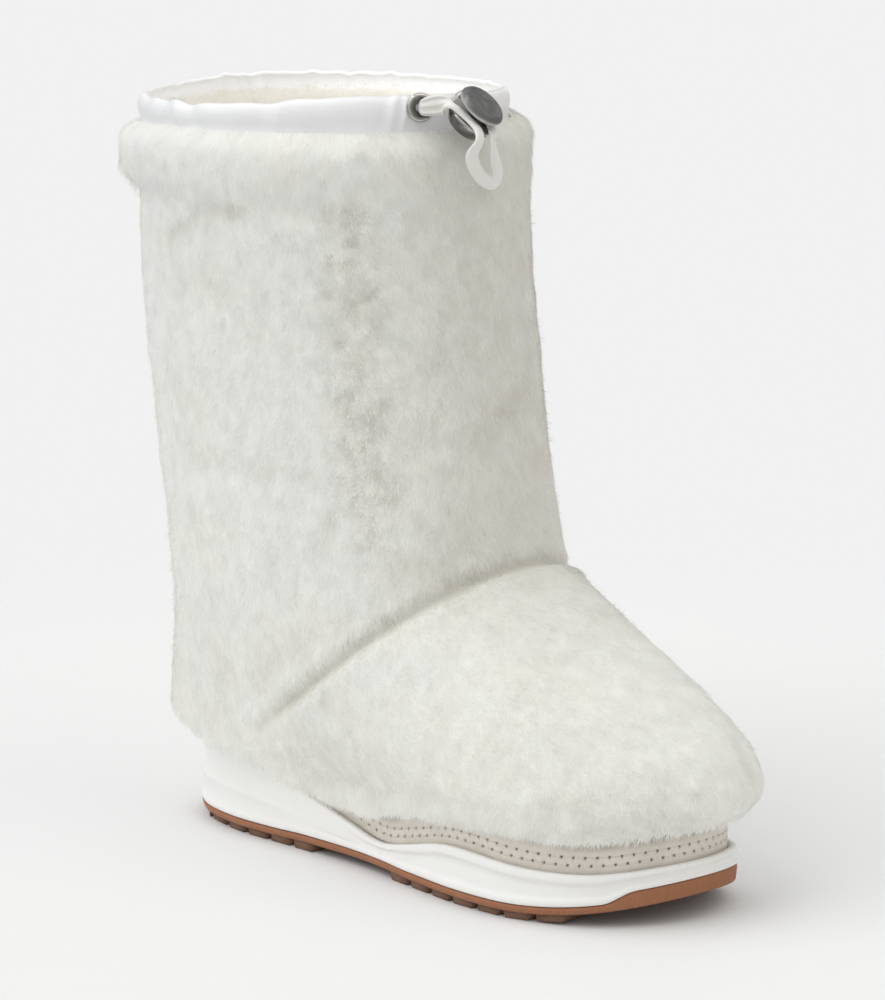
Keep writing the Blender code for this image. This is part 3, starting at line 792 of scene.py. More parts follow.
def rand_material():
    """Pale leather with a fine pebbled grain, painted shade down in its stitch holes, and painted shadow
    under the fur's hem.
    """
    hide = Surface("rand_leather", (0.72, 0.675, 0.60), 0.55, Specular_IOR_Level=0.35)
    grain = hide.mottled(1.1, 4, (0.66, 0.615, 0.54), (0.77, 0.725, 0.65))
    worn = hide.mix(hide.span(hide.noise(22, 3), 0.4, 0.7), grain, (0.78, 0.735, 0.67))
    # Painted shadow of the fur's hem over the rand's top
    painted_hem_shadow = hide.mix(hide.value("painted_hem_shadow"), worn, (0.52, 0.475, 0.40))
    # Painted shade: near-black down in the stitch holes
    hide.set("Base Color", hide.mix(hide.value("hole"), painted_hem_shadow, (0.05, 0.04, 0.035)))
    cells = hide.add("TexVoronoi", Vector=hide.place(), Scale=1 / 0.8)
    hide.relief(cells.outputs["Distance"], 0.18, 0.5)
    hide.grain(3.5, 3, 0.25, 0.4)
    return hide.material


def thread_material():
    """Waxed light thread with its twist."""
    thread = Surface("rand_thread", (0.74, 0.71, 0.65), 0.6)
    twist = thread.add("TexWave", Vector=thread.place(), Scale=1.6, Distortion=0.6)
    thread.set("Base Color", thread.mix(twist.outputs["Fac"], (0.74, 0.70, 0.62), (0.88, 0.85, 0.79)))
    thread.relief(twist.outputs["Fac"], 0.1, 0.6)
    return thread.material


def collar_material():
    """White satin nylon: a fine plain weave, smooth and slightly glossy, with faint creases."""
    satin = Surface("satin_nylon", (0.96, 0.962, 0.98), 0.4, Specular_IOR_Level=0.5, Sheen_Weight=0.5)
    cloth = satin.mottled(9, 4, (0.975, 0.977, 0.99), (0.985, 0.987, 1.0))
    backing = satin.mottled(2.5, 4, (0.80, 0.77, 0.69), (0.90, 0.875, 0.81))
    satin.set("Base Color", satin.mix(satin.value("wool"), cloth, backing))
    threads = satin.add("TexWave", Vector=satin.place(), Scale=2.2, Distortion=0.4, Detail=1.0)
    threads.bands_direction = "Z"
    satin.relief(threads.outputs["Fac"], 0.05, 0.35)
    satin.relief(satin.noise(5, 3, (1, 1, 0.35)), 0.5, 0.35)
    satin.rough(3, 3, 0.34, 0.48)
    return satin.material


def cord_material():
    """Flat cream cord: a tight diagonal weave with ribs along it, and painted shade between the ribs where
    it fans.
    """
    cord = Surface("woven_cord", (0.93, 0.92, 0.87), 0.75, Sheen_Weight=0.5)
    waves = {}
    for name, turns in (("across", 22.0), ("along", 7.0), ("ribs", 9.5)):
        sine = cord.add("Math", "SINE")
        cord.put(sine.inputs[0], cord.times(cord.value(name.replace("ribs", "across")), turns))
        waves[name] = sine.outputs["Value"]
    weave = cord.span(cord.times(waves["across"], waves["along"]), -1.0, 1.0)
    ribs = cord.span(waves["ribs"], -1.0, 1.0)
    woven = cord.mix(weave, (0.925, 0.92, 0.88), (0.975, 0.97, 0.945))
    fan = cord.value("fan")
    # Painted shade between the ribs where the cord fans out
    cord.set("Base Color", cord.mix(fan, woven, cord.mix(ribs, (0.74, 0.72, 0.65), woven)))
    cord.relief(cord.times(ribs, fan), 0.45, 0.8)
    cord.relief(weave, 0.14, 0.6)
    cord.grain(0.5, 2, 0.1, 0.5)
    return cord.material


def gunmetal_material(name, color, roughness, grain):
    """Plated metal with fine brushing and faint smudges, and a painted highlight along its marked edge."""
    metal = Surface(name, color, roughness, Metallic=1.0)
    dark = tuple(0.72 * c for c in color)
    plate = metal.mix(metal.span(metal.noise(4, 4), 0.3, 0.7), dark, color)
    # Painted highlight: a brighter metal colour along the piece's marked edge
    metal.set("Base Color", metal.mix(metal.value("edge"), plate, (0.66, 0.64, 0.61)))
    metal.rough(2.5, 4, roughness * 0.8, roughness * 1.3)
    metal.grain(grain, 3, 0.06, 0.4)
    return metal.material


# Camera, lights and floor


def view_directions():
    """The camera's right, up and back directions."""
    back = toward(CAMERA_AZIMUTH, CAMERA_ELEVATION)
    right = Vector((0, 0, 1)).cross(back).normalized()
    return right, back.cross(right), back


def build_camera():
    """The camera that puts the aim point at its pixel."""
    right, up, back = view_directions()
    scale = FOCAL_PIXELS / CAMERA_DISTANCE
    target = Vector(AIM_POINT)
    target -= right * (AIM_PIXEL[0] - IMAGE[0] / 2) / scale
    target += up * (AIM_PIXEL[1] - IMAGE[1] / 2) / scale
    data = bpy.data.cameras.new("camera")
    data.sensor_width = SENSOR
    data.lens = FOCAL_PIXELS * SENSOR / max(IMAGE)
    data.clip_end = 20
    camera = add_object("camera", data)
    turn = Matrix((right, up, back)).transposed().to_4x4()
    camera.matrix_world = Matrix.Translation(target + back * CAMERA_DISTANCE) @ turn
    bpy.context.scene.camera = camera


# Soft lamps far away: where each stands round the boot, in degrees, how wide it looks, and its strength
LAMPS = table(
    "name azimuth elevation width strength color",
    ("key", -28, 46, 60, 1.06, (1.0, 0.998, 0.985)), ("fill", 105, 48, 50, 0.24, (1.0, 1.0, 0.99)),
)
# Studio light by height: straight down, level and straight up
WORLD_LIGHT = (0.48, 0.525, 0.94)
# Its colour, cooler round the boot and warmer from the side where a pair's other boot stands
WARM_AT = 120.0
COOL_LIGHT = (0.98, 0.99, 1.0)
WARM_LIGHT = (0.99, 0.955, 0.89)
# A weak small lamp down in the mouth: its depth under the rim, radius and power
MOUTH_DEPTH = 0.008
MOUTH_RADIUS = 0.03
MOUTH_POWER = 0.055
BACKDROP = 0.879
FLOOR_RADIUS = 3.0
FLOOR_FADE = (0.34, 0.62)


def toward(azimuth, elevation):
    """The direction to something that stands at an azimuth and an elevation, in degrees."""
    a, e = math.radians(azimuth), math.radians(elevation)
    return Vector((math.sin(a) * math.cos(e), -math.cos(a) * math.cos(e), math.sin(e)))


def add_lamp(name, kind, power):
    data = bpy.data.lights.new(name, kind)
    data.energy = power
    data.cycles.use_multiple_importance_sampling = False
    return add_object(name, data)


def build_lamps():
    for lamp in LAMPS:
        light = add_lamp(lamp.name, "SUN", lamp.strength)
        light.data.angle = math.radians(lamp.width)
        light.data.color = lamp.color
        way = toward(lamp.azimuth, lamp.elevation)
        light.matrix_world = facing(way * 3, way)
    low, high = (Vector(corner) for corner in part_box("collar"))
    light = add_lamp("mouth", "POINT", MOUTH_POWER)
    light.data.shadow_soft_size = MOUTH_RADIUS
    light.location = ((low.x + high.x) / 2, (low.y + high.y) / 2, high.z - MOUTH_DEPTH)
    light.visible_camera = False


def build_world():
    """Even studio light from all round, behind a plain pale backdrop."""
    world = bpy.data.worlds.new("studio")
    tree = Nodes(world)
    light = tree.nodes["Background"]
    way = tree.add("TexCoord").outputs["Generated"]
    height = tree.add("SeparateXYZ", Vector=way).outputs["Z"]
    half = tree.add("MapRange", Value=height, From_Min=-1)
    rise = tree.add("FloatCurve", Value=half.outputs["Result"])
    rise.mapping.use_clip = False
    curve = rise.mapping.curves[0]
    for point, strength in zip(curve.points, (WORLD_LIGHT[0], WORLD_LIGHT[2])):
        point.location = (point.location.x, strength)
    curve.points.new(0.5, WORLD_LIGHT[1])
    rise.mapping.update()
    tree.put(light.inputs["Strength"], rise.outputs[0])
    side = tree.add("VectorMath", "DOT_PRODUCT", Vector=way)
    side.inputs[1].default_value = toward(WARM_AT, 0)
    tree.put(light.inputs["Color"], tree.mix(side.outputs["Value"], COOL_LIGHT, WARM_LIGHT))
    seen = tree.add("Background", Color=(BACKDROP, BACKDROP, BACKDROP, 1))
    pick = tree.add("MixShader")
    ways = (tree.add("LightPath").outputs["Is Camera Ray"], light.outputs[0], seen.outputs[0])
    for socket, value in zip(pick.inputs, ways):
        tree.put(socket, value)
    tree.put(tree.nodes["World Output"].inputs["Surface"], pick.outputs[0])
    bpy.context.scene.world = world
    bpy.context.scene.view_settings.view_transform = "Standard"
    bpy.context.scene.cycles.diffuse_bounces = 8


def build_floor():
    """A pale floor that fades into the backdrop away from the boot."""
    paint = Surface("floor_paint", (0.87, 0.87, 0.87), 0.7, Specular_IOR_Level=0.2)
    length = paint.add("VectorMath", "LENGTH", Vector=paint.add("TexCoord").outputs["Object"])
    paint.set("Alpha", paint.span(length.outputs["Value"], *FLOOR_FADE, 1.0, 0.0))
    paint.set("Base Color", paint.mottled(60, 2, (0.865,) * 3, (0.875,) * 3))
    mesh = bpy.data.meshes.new("floor")
    corners = [(-1, -1), (1, -1), (1, 1), (-1, 1)]
    mesh.from_pydata([(x * FLOOR_RADIUS, y * FLOOR_RADIUS, 0) for x, y in corners], [], [(0, 1, 2, 3)])
    mesh.materials.append(paint.material)
    floor = add_object("floor", mesh)


# Sole

RIB_PITCH = 1.25
RIB_DEPTH = 0.28
RIB_ZONE = (196.0, 236.0)
LUG_RUNS = table(
    "start end pitch gap",
    (9, 98, 14.8, 3.4), (149, 252, 14.7, 3.4),
)
LUG_EDGE = (1.4, 17.0)
LUG_MIDDLE = 20.5
LUG_LEAST = 10.0


def ribbed_shares():
    """Shares of the sole's half outline, close together where the toe is ribbed."""
    near = np.linspace(0, 0.42, 560, endpoint=False)
    rest = np.linspace(0.42, 1, 140)
    return np.concatenate([near, rest])


def build_outsole():
    plan = sole_outline(ribbed_shares())
    x = plan[:, 0]
    run = run_along(np.vstack([plan, plan[:1]]))[:-1]
    rib = RIB_DEPTH * (0.5 + 0.5 * np.cos(2 * math.pi * run / RIB_PITCH)) * smoothstep(*RIB_ZONE, x)
    tread, edge = tread_z(x), edge_z(x)
    tall = edge - tread
    layers = [
        (6.0, tread),
        (1.7, tread),
        (1.1 + rib * 0.3, tread + 0.25),
        (0.75 + rib, tread + 0.8),
        (0.55 + rib, tread + 0.25 * tall + 0.4),
        (0.35 + rib, tread + 0.55 * tall),
        (0.2 + rib, edge - 1.0),
        (0.3 + rib * 0.6, edge - 0.45),
        (0.6, edge - 0.12),
        (0.9, edge),
        (3.2, edge),
        (7.0, band_z(x)),
    ]
    points, faces = stacked(plan, layers)
    side = np.concatenate([np.full(len(plan), s) for s in [0, 0, 0.6] + [1] * (len(layers) - 3)])
    lug_points, lug_faces, lug_side = lug_blocks(len(points))
    sole = add_piece("sole_rubber", np.vstack([points, lug_points]), faces + lug_faces, OUTSOLE, "outsole")
    add_values(sole, "side", np.concatenate([side, lug_side]))
    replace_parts(sole, "outsole")


def lug_blocks(start):
    """All lugs as closed blocks with softened feet, numbered from a start."""
    medial = np.array([(s.along, s.medial) for s in SOLE_STATIONS])
    lateral = np.array([(s.along, -s.lateral) for s in SOLE_STATIONS])
    points, faces, sides = [], [], []
    for run in LUG_RUNS:
        for k in range(int(round((run.end - run.start) / run.pitch))):
            x0 = run.start + k * run.pitch
            x1 = x0 + run.pitch - run.gap
            for side, table in ((1, medial), (-1, lateral)):
                edge = np.interp([x0, x1], table[:, 0], table[:, 1])
                far, near = edge - side * LUG_EDGE[0], edge - side * LUG_EDGE[1]
                shape = [(x0, far[0]), (x1, far[1]), (x1, near[1]), (x0, near[0])]
                add_lug(points, faces, sides, start, shape)
            inner = np.interp([x0, x1], medial[:, 0], medial[:, 1]) - LUG_MIDDLE
            outer = np.interp([x0, x1], lateral[:, 0], lateral[:, 1]) + LUG_MIDDLE
            if min(inner - outer) < LUG_LEAST:
                continue
            middle = (inner + outer) / 2
            reach = run.pitch * 0.32
            shape = [(x0, outer[0]), (x0 + reach, middle[0]), (x0, inner[0])]
            shape += [(x1, inner[1]), (x1 + reach, middle[1]), (x1, outer[1])]
            add_lug(points, faces, sides, start, shape)
    return np.array(points), faces, sides


def add_lug(points, faces, sides, start, shape):
    """One block: the part's tapered lug with a chamfer round its foot."""
    shape = np.asarray(shape, float)
    middle = shape.mean(0)
    spring = tread_z(shape[:, 0]) - LUG_HEIGHT
    flat = np.where(shape[:, 0] < TOE_SPRING_FROM, 0.0, spring)
    rings = []
    top = tread_z(shape[:, 0]) + 1.4
    for share, z in ((0.88, flat), (0.925, flat + 0.15), (0.94, flat + 0.6), (1.0, top)):
        rings.append(np.column_stack([middle + (shape - middle) * share, z]))
    n = len(shape)
    first = start + len(points)
    points += [tuple(p) for ring in rings for p in ring]
    sides += [0.15] * (n * len(rings))
    area = np.sum(shape[:, 0] * np.roll(shape[:, 1], -1) - np.roll(shape[:, 0], -1) * shape[:, 1])
    way = (lambda face: face) if area > 0 else (lambda face: face[::-1])
    faces += [way(face) for face in ring_faces(len(rings), n, first)]
    faces.append(way(list(range(first + n - 1, first - 1, -1))))
    last = first + n * (len(rings) - 1)
    faces.append(way(list(range(last, last + n))))


MIDSOLE_BEAD = 0.5
HEEL_CREASE = 1.5
HEEL_CREASE_AT = (0.4, 0.42)


def build_midsole():
    plan = sole_outline(even(420))
    x = plan[:, 0]
    low, lip = edge_z(x) + CLEAR, level("lip", x)
    step = MIDSOLE_STEP * smoothstep(100, 165, x)
    bead = np.maximum(step, MIDSOLE_BEAD)
    waist = np.clip((lip - low) / 14.0, 0.45, 1.0)
    heel = HEEL_CREASE * (1 - smoothstep(48, 112, x))
    crease_z = low + (lip - low) * np.interp(x, (0, 95), HEEL_CREASE_AT)
    layers = [
        (7.0, band_z(x) + CLEAR + BUMPER_SLACK * smoothstep(BUMPER_STEP[0] - 12, BUMPER_STEP[0], x)),
        (3.4, low),
        (0.9, low),
        (0.25, low + 0.25 * waist),
        (0.0, low + 0.9 * waist),
        (-0.05, low + 2.0 * waist),
        (0.05, low + 2.8 * waist),
        (bead * 0.7, low + 3.35 * waist),
        (bead, low + 3.9 * waist),
        (step + 0.1 + heel * 0.5, crease_z - 1.6 * waist),
        (step + 0.1 + heel * 0.1, crease_z - 0.5 * waist),
        (step + 0.15 + heel * 0.25, crease_z + 0.6 * waist),
        (step + 0.2 + heel, crease_z + 2.4 * waist),
        (step + 0.2 + heel * 0.8, lip - 5.1 * waist),
        (step * 0.6 + 0.25 + heel * 0.4, lip - 4.4 * waist),
        (0.3, lip - 3.7 * waist),
        (0.25, lip - 2.4 * waist),
        (0.35, lip - 1.1),
        (0.6, lip - 0.4),
        (1.1, lip - 0.05),
        (1.8, lip),
        (MIDSOLE_LIP - 0.4, lip - 0.1),
        (MIDSOLE_LIP, cup_floor(x) + 0.4),
        (MIDSOLE_LIP + 0.6, cup_floor(x)),
        (12.0, cup_floor(x)),
    ]
    points, faces = stacked(plan, layers)
    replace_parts(add_piece("sole_foam", points, faces, MIDSOLE, "midsole"), "midsole")


HOLE_PITCH = 5.4
HOLE_HALF = 0.62
HOLE_DEPTH = 0.9
HOLE_ROWS = [3.0, 6.4]
RAND_COLUMNS = 1200
# Heights above the lip over which the painted shadow under the fur's hem comes in
RAND_HEM_SHADOW = (8.0, 13.0)


def build_rand():
    """The leather rand with two staggered rows of sewn holes, and its threads."""
    plan = sole_outline(even(RAND_COLUMNS))
    x = plan[:, 0]
    run = run_along(np.vstack([plan, plan[:1]]))
    whole, run = run[-1], run[:-1]
    pitch = whole / round(whole / HOLE_PITCH)
    foot = cup_floor(x) + SEAT_GAP
    top = level("hem", x) - RAND_UNDER
    lip = level("lip", x)
    out = MIDSOLE_LIP + 0.6 + 0.2
    heights = [foot, lip + 0.5, lip + 1.6]
    for row in HOLE_ROWS:
        heights += [lip + row + d for d in (-0.95, -0.55, -0.3, 0, 0.3, 0.55, 0.95)]
    heights += [lip + HOLE_ROWS[-1] + 2.0, top]
    depth, holes = [], []
    for z in heights:
        sunk = np.zeros(len(x))
        for j, row in enumerate(HOLE_ROWS):
            along = (run - j * pitch / 2 + pitch / 2) % pitch - pitch / 2
            away = np.hypot(along, z - lip - row)
            sunk += bump(away, HOLE_HALF)
        depth.append(HOLE_DEPTH * sunk)
        # Painted shade in the holes, where they sink
        holes.append(np.clip(1.6 * sunk - 0.3, 0, 1))
    layers = [(out + d, np.minimum(z, top)) for d, z in zip(depth, heights)]
    layers += [(out + RAND_THICK, top), (out + RAND_THICK, foot)]
    holes += [np.zeros(len(x))] * 2
    rings = [np.column_stack([inset(plan, d), z]) for d, z in layers]
    rand = add_piece("rand_leather", *looped(rings), RAND, "rand")
    add_values(rand, "hole", np.concatenate(holes))
    # Painted shadow under the fur's hem, over the rand's top
    risen = np.concatenate([z - lip for _, z in layers])
    add_values(rand, "painted_hem_shadow", smoothstep(*RAND_HEM_SHADOW, risen))
    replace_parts(rand, "rand")
    build_threads(plan, run, pitch, out)


THREAD_HALF = 0.32
THREAD_STEPS = 7


def build_threads(plan, run, pitch, out):
    """Short stitches from hole to hole along both rows, as one mesh."""
    wall = inset(plan, out)
    lip = level("lip", plan[:, 0])
    count = int(round((run[-1] + pitch / 2) / pitch))
    points, faces, start = [], [], 0
    for j, row in enumerate(HOLE_ROWS):
        for s in range(count):
            share = np.linspace(0.1, 0.9, THREAD_STEPS)
            at = ((s + share + j / 2) * pitch) % (run[-1])
            path = np.stack([np.interp(at, run, wall[:, 0]), np.interp(at, run, wall[:, 1]),
                             np.interp(at, run, lip) + row], 1)
            away = unit(np.cross(np.gradient(path, axis=0), (0, 0, 1)))
            path += away * (0.22 * np.sin(math.pi * share) - 0.12)[:, None]
            upright = np.tile((0, 0, 1.0), (THREAD_STEPS, 1))
            made, sides = tube(path, upright, THREAD_HALF * 2, THREAD_HALF, 6)
            points.append(made)
            faces += [[start + i for i in face] for face in sides]
            start += len(made)
    add_piece("rand_threads", np.vstack(points), faces, THREAD, "rand")


def build_insole():
    """A wool sole liner, crowned a little and quilted by its pile."""
    plan = sole_outline(even(260))
    x = plan[:, 0]
    low = cup_floor(x) + SEAT_GAP
    out = MIDSOLE_LIP + 0.8 + RAND_THICK + 0.5
    top = low + INSOLE_THICK
    layers = [
        (14.0, low), (out + 0.3, low), (out, low + 0.5), (out, top - 1.2), (out + 0.5, top - 0.35),
        (out + 1.4, top), (out + 5.0, top + 0.1), (14.0, top + 0.15), (20.0, top + 0.1),
    ]
    points, faces = stacked(plan, layers)
    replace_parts(add_piece("insole_wool", points, faces, WOOL, "insole"), "insole")


# Upper


class Pelt:
    """A surface that hair grows on: points of a ring grid, with their normals and the way down."""

    def __init__(self, grid, inward=False, painted_shade=0.0):
        self.points = grid
        self.painted_shade = np.broadcast_to(painted_shade, grid.shape[:2])[:, :, None]
        self.normals = fur_normals(grid) * (-1 if inward else 1)
        share = heel_share(grid)
        down = unit(-np.gradient(grid, axis=0)) * (1 - share) + np.array((0, 0, -1)) * share
        down -= self.normals * np.sum(down * self.normals, 2, keepdims=True)
        self.downs = unit(down)
        corner = np.roll(grid, -1, 1)
        sides = np.cross(corner[:-1] - grid[:-1], grid[1:] - grid[:-1])
        self.areas = np.linalg.norm(sides, axis=2)
        self.parting = 0.0 if inward else 1.0

    def pick(self, count, rows, rng):
        """Random places on the pelt between two rows, even by area: whole cells and shares within them."""
        weight = self.areas[rows[0] : rows[1]]
        flat = np.cumsum(weight.ravel())
        chosen = np.searchsorted(flat, rng.random(count) * flat[-1])
        j, k = np.divmod(chosen, weight.shape[1])
        return j + rows[0], k, rng.random(count), rng.random(count)

    def at(self, field, place):
        """A field of the pelt at picked places."""
        j, k, a, b = place
        n = (k + 1) % field.shape[1]
        a, b = a[:, None], b[:, None]
        low = field[j, k] * (1 - b) + field[j, n] * b
        high = field[j + 1, k] * (1 - b) + field[j + 1, n] * b
        return low * (1 - a) + high * a


def fur_surface():
    """The fur's outer envelope on a fine grid, with its seam and creases, its painted shade and its rings'
    rows.
    """
    rings = fur_rings(FUR_AROUND)
    gaps = np.linalg.norm(np.diff(rings, axis=0), axis=2).mean(1)
    steps = np.maximum(2, np.ceil(gaps / FUR_CELL).astype(int))
    plain = smooth_over(straight_rows(rings, steps), FOOT_CALM)
    high = smoothstep(*SPLINE_ABOVE, plain[:, :, 2])[:, :, None]
    grid = plain * (1 - high) + smooth_rows(rings, steps) * high
    climbing = 0.05 * np.arange(len(grid))[:, None]
    grid[:, :, 2] = np.maximum.accumulate(grid[:, :, 2] - climbing) + climbing
    starts = np.concatenate([[0], np.cumsum(steps)])
    away = climb_from(grid, starts[SEAM_ROW])
    shown = smoothstep(*SEAM_FADE, grid[starts[SEAM_ROW], :, 0])
    groove = SEAM_DEPTH * bump(away, SEAM_HALF) - SEAM_PILLOW * bump(np.abs(away) - 6.5, 4.0)
    dent = groove * shown
    # Painted shade: darker tone down in the seam and in the creases
    painted_shade = SEAM_SHADE * bump(away, SEAM_HALF) * shown
    for crease in CREASES:
        sunk = crease.depth * bump(distance_to(crease.path, grid), crease.half)
        dent += sunk
        painted_shade += CREASE_SHADE * sunk
    for lump in LUMPS:
        dent += lump.depth * soft_noise(grid, lump.size, SEED + lump.seed)
    parted = bump(wrapped(ring_angles(FUR_AROUND) - PARTING_AT), PARTING_HALF)
    dent += PARTING_DEPTH * parted[None, :] * parting_span(grid[:, :, 2])
    normals = fur_normals(grid)
    # Painted shade up the front of the shaft and low on the side, where less light falls
    front = smoothstep(*FRONT_FROM, wrapped(ring_angles(FUR_AROUND)))[None, :]
    front = front * smoothstep(*FRONT_ABOVE, grid[:, :, 2])
    low = (1 - smoothstep(*SIDE_BELOW, grid[:, :, 2])) * smoothstep(-0.2, 0.6, -normals[:, :, 1])
    painted_shade += FRONT_SHADE * front * smoothstep(0, 0.6, normals[:, :, 0]) + SIDE_SHADE * low
    return grid - normals * dent[:, :, None], painted_shade, starts


def climb_from(grid, row):
    """Distance up the grid's columns from one of its rows."""
    steps = np.linalg.norm(np.diff(grid, axis=0), axis=2)
    climb = np.concatenate([np.zeros((1, grid.shape[1])), np.cumsum(steps, 0)])
    return climb - climb[row]


def wrapped(angle):
    """An angle brought within half a turn of zero."""
    return (np.asarray(angle, float) + math.pi) % (2 * math.pi) - math.pi


def parting_span(z):
    """How much the parting shows at a height: full up the shaft, fading at its ends."""
    return smoothstep(PARTING_SPAN[0] - 20, PARTING_SPAN[0] + 20, z) * (1 - smoothstep(*PARTING_TOP, z))


def distance_to(path, points):
    """Distance from points in space to an open path of straight pieces."""
    nearest = np.full(points.shape[:-1], np.inf)
    for a, b in zip(np.asarray(path[:-1], float), np.asarray(path[1:], float)):
        share = np.clip(((points - a) @ (b - a)) / np.dot(b - a, b - a), 0, 1)
        nearest = np.minimum(nearest, np.linalg.norm(points - a - share[..., None] * (b - a), axis=-1))
    return nearest


# Growth of the fur: rows are the CAD rings that it grows between, lengths in millimetres, and hang is how
# far it drops straight down instead of along the pelt
Growth = namedtuple("Growth", "name low high count root lift run hang wide stray clump tuft")
GROWTHS = [
    Growth("fur_foot", 0, SEAM_ROW, 160000, 0.5, 0.35, 3.6, 0, 0.46, 0.5, 0.5, 3.4),
    Growth("fur_shaft_low", SEAM_ROW, 20, 160000, 0.5, 0.35, 4.2, 0, 0.46, 0.35, 0.5, 3.6),
    Growth("fur_shaft_high", 20, 22, 160000, 0.5, 0.35, 4.2, 0, 0.46, 0.35, 0.5, 3.6),
    Growth("fur_roll", 22, 28, 110000, 0.5, 0.5, 5.5, 0, 0.44, 0.3, 0.9, 4.2),
    Growth("fur_hem", 1, 4, 26000, 0.6, 0.4, 6.0, 1, 0.5, 0.25, 0.8, 2.6),
    Growth("fur_tufts", 23, 25, 16000, 0.4, 0.9, 8.0, 0.35, 0.42, 0.25, 1.8, 6.0),
    Growth("fur_halo", 0, 28, 22000, 0.3, 1.6, 2.6, 0, 0.2, 0.7, 0.8, 3.0),
]
# Wool inside: up the collar's inner side to its satin facing, and down the shaft's lining
FACING_DEPTH = 7.5
COLLAR_WOOL = Growth("wool_collar", 0, 26, 26000, 0.4, 0.9, 1.5, 0, 0.55, 1.6, 0.7, 2.6)
SHAFT_WOOL = Growth("wool_shaft", 21, 25, 24000, 0.4, 0.9, 1.7, 0, 0.6, 1.6, 0.8, 2.8)
FUR_TONES = np.array([0.72, 0.72, 0.95])
# Speckle of the fur's tone: hair by hair, in tufts and in patches, with the sizes of these
HAIR_SPECKLE = 0.1
TUFT_SPECKLE = 0.12
TUFT_SIZE = 2.6
PATCH_SPECKLE = 0.08
PATCH_SIZE = 7.0
# How the blades vary: swirls of the nap and their size, lengths, widths, roll, and lift in patches of a size
SWIRL = 0.4
SWIRL_SIZE = 38
BLADE_LENGTHS = (0.7, 1.25)
BLADE_WIDTHS = (0.7, 1.3)
BLADE_ROLL = 0.12
LIFT_SIZE = 5.0
# The parting: how far its hair turns aside, clumps more, and darkens (roots and painted shade), evenly and
# in streaks
PARTING_TURN = 0.7
PARTING_CLUMP = 1.6
PARTING_DARK = 0.24
PARTING_STREAKS = 0.6
# Hem: its share of full length from heel to toe, and how far its edge waves
HEM_AT = (60, 130, 235, 272)
HEM_SHARES = (0.25, 0.8, 1.0, 0.25)
HEM_WAVE = 0.5
# Tufts that lean together, by size: how far they turn the fur's shading
MOTTLES = table(
    "size tilt seed",
    (2.4, 0.16, 20), (6.0, 0.12, 30),
)


def grow_fur(pelt, growth, rows, rng, material):
    """One piece of fur: tapered blades from the skin to the envelope, napped downward in soft clumps."""
    place = pelt.pick(growth.count, rows, rng)
    base, normal, down = (pelt.at(field, place) for field in (pelt.points, pelt.normals, pelt.downs))
    normal = unit(normal)
    down = unit(down * (1 - growth.hang) + np.array([0, 0, -1.0]) * growth.hang)
    across = unit(np.cross(normal, down))
    count = len(base)
    j, k, _, along = place
    apart = wrapped((k + along) * 2 * math.pi / pelt.points.shape[1] - PARTING_AT)
    parted = pelt.parting * bump(apart, 1.6 * PARTING_HALF) * parting_span(base[:, 2])
    swirl = SWIRL * soft_noise(base, SWIRL_SIZE, SEED + 1)
    swirl += growth.stray * rng.normal(0, 1, count) * (1 + parted)
    swirl += PARTING_TURN * parted * np.tanh(2 * apart / PARTING_HALF)
    lay = down * np.cos(swirl)[:, None] + across * np.sin(swirl)[:, None]
    size = rng.uniform(*BLADE_LENGTHS, count)
    if growth.hang == 1:
        size *= np.interp(base[:, 0], HEM_AT, HEM_SHARES) * (1 + HEM_WAVE * soft_noise(base, 12, SEED + 9))
        normal = unit(normal * (1, 1, 0.35))
    clump = np.stack([soft_noise(base, growth.tuft, SEED + n) for n in (2, 3, 4)], 1)
    clump *= (growth.clump * (1 + PARTING_CLUMP * parted))[:, None]
    lift = growth.lift * (1 + soft_noise(base, LIFT_SIZE, SEED + 5)) * size
    root = base - normal * growth.root
    tip = base + normal * lift[:, None] + lay * (growth.run * size)[:, None] + clump
    roll = rng.normal(0, BLADE_ROLL, count)
    blade = unit(np.cross(normal, lay))
    blade = blade * np.cos(roll)[:, None] + normal * np.sin(roll)[:, None]
    wide = blade * (growth.wide * rng.uniform(*BLADE_WIDTHS, count) / 2)[:, None]
    behind = np.sum(np.cross(2 * wide, tip - root) * normal, 1) < 0
    wide[behind] *= -1
    corners = np.stack([root - wide, root + wide, tip], 1)
    lean = np.zeros((count, 3))
    for mottle in MOTTLES:
        seeds = SEED + mottle.seed + np.arange(3)
        lean += mottle.tilt * np.stack([soft_noise(base, mottle.size, seed) for seed in seeds], 1)
    facing_out = unit(normal + lean * (1 + 1.5 * parted)[:, None])
    shine = unit(facing_out + 0.1 * rng.normal(0, 1, (count, 3)) + 0.1 * lay)
    normals = np.stack([facing_out, facing_out, shine], 1)
    light = rng.normal(0, HAIR_SPECKLE, count)
    light += TUFT_SPECKLE * soft_noise(base * (1, 1, 0.5), TUFT_SIZE, SEED + 6)
    light += PATCH_SPECKLE * soft_noise(base * (1, 1, 0.6), PATCH_SIZE, SEED + 8)
    # Darker in the parting: partly its roots showing, partly painted shade between the clumps
    streaks = np.clip(soft_noise(base * (1, 1, 0.45), 2.0, SEED + 7), 0, 1)
    light -= parted * (PARTING_DARK + PARTING_STREAKS * streaks)
    # Painted shade from the pelt: in the seam, the creases, up the front and low on the side
    light -= pelt.at(pelt.painted_shade, place)[:, 0]
    tone_and_painted_shade = np.clip(FUR_TONES[None, :] + light[:, None], 0, 1)
    spots = np.stack([(k + along) / pelt.points.shape[1], (j - rows[0]) / (rows[1] - rows[0])], 1)
    add_blades(growth.name, corners, normals, tone_and_painted_shade, spots, material)


BAKE_CELL = np.array([(-0.002, -0.002), (0.002, -0.002), (0.0, 0.002)])


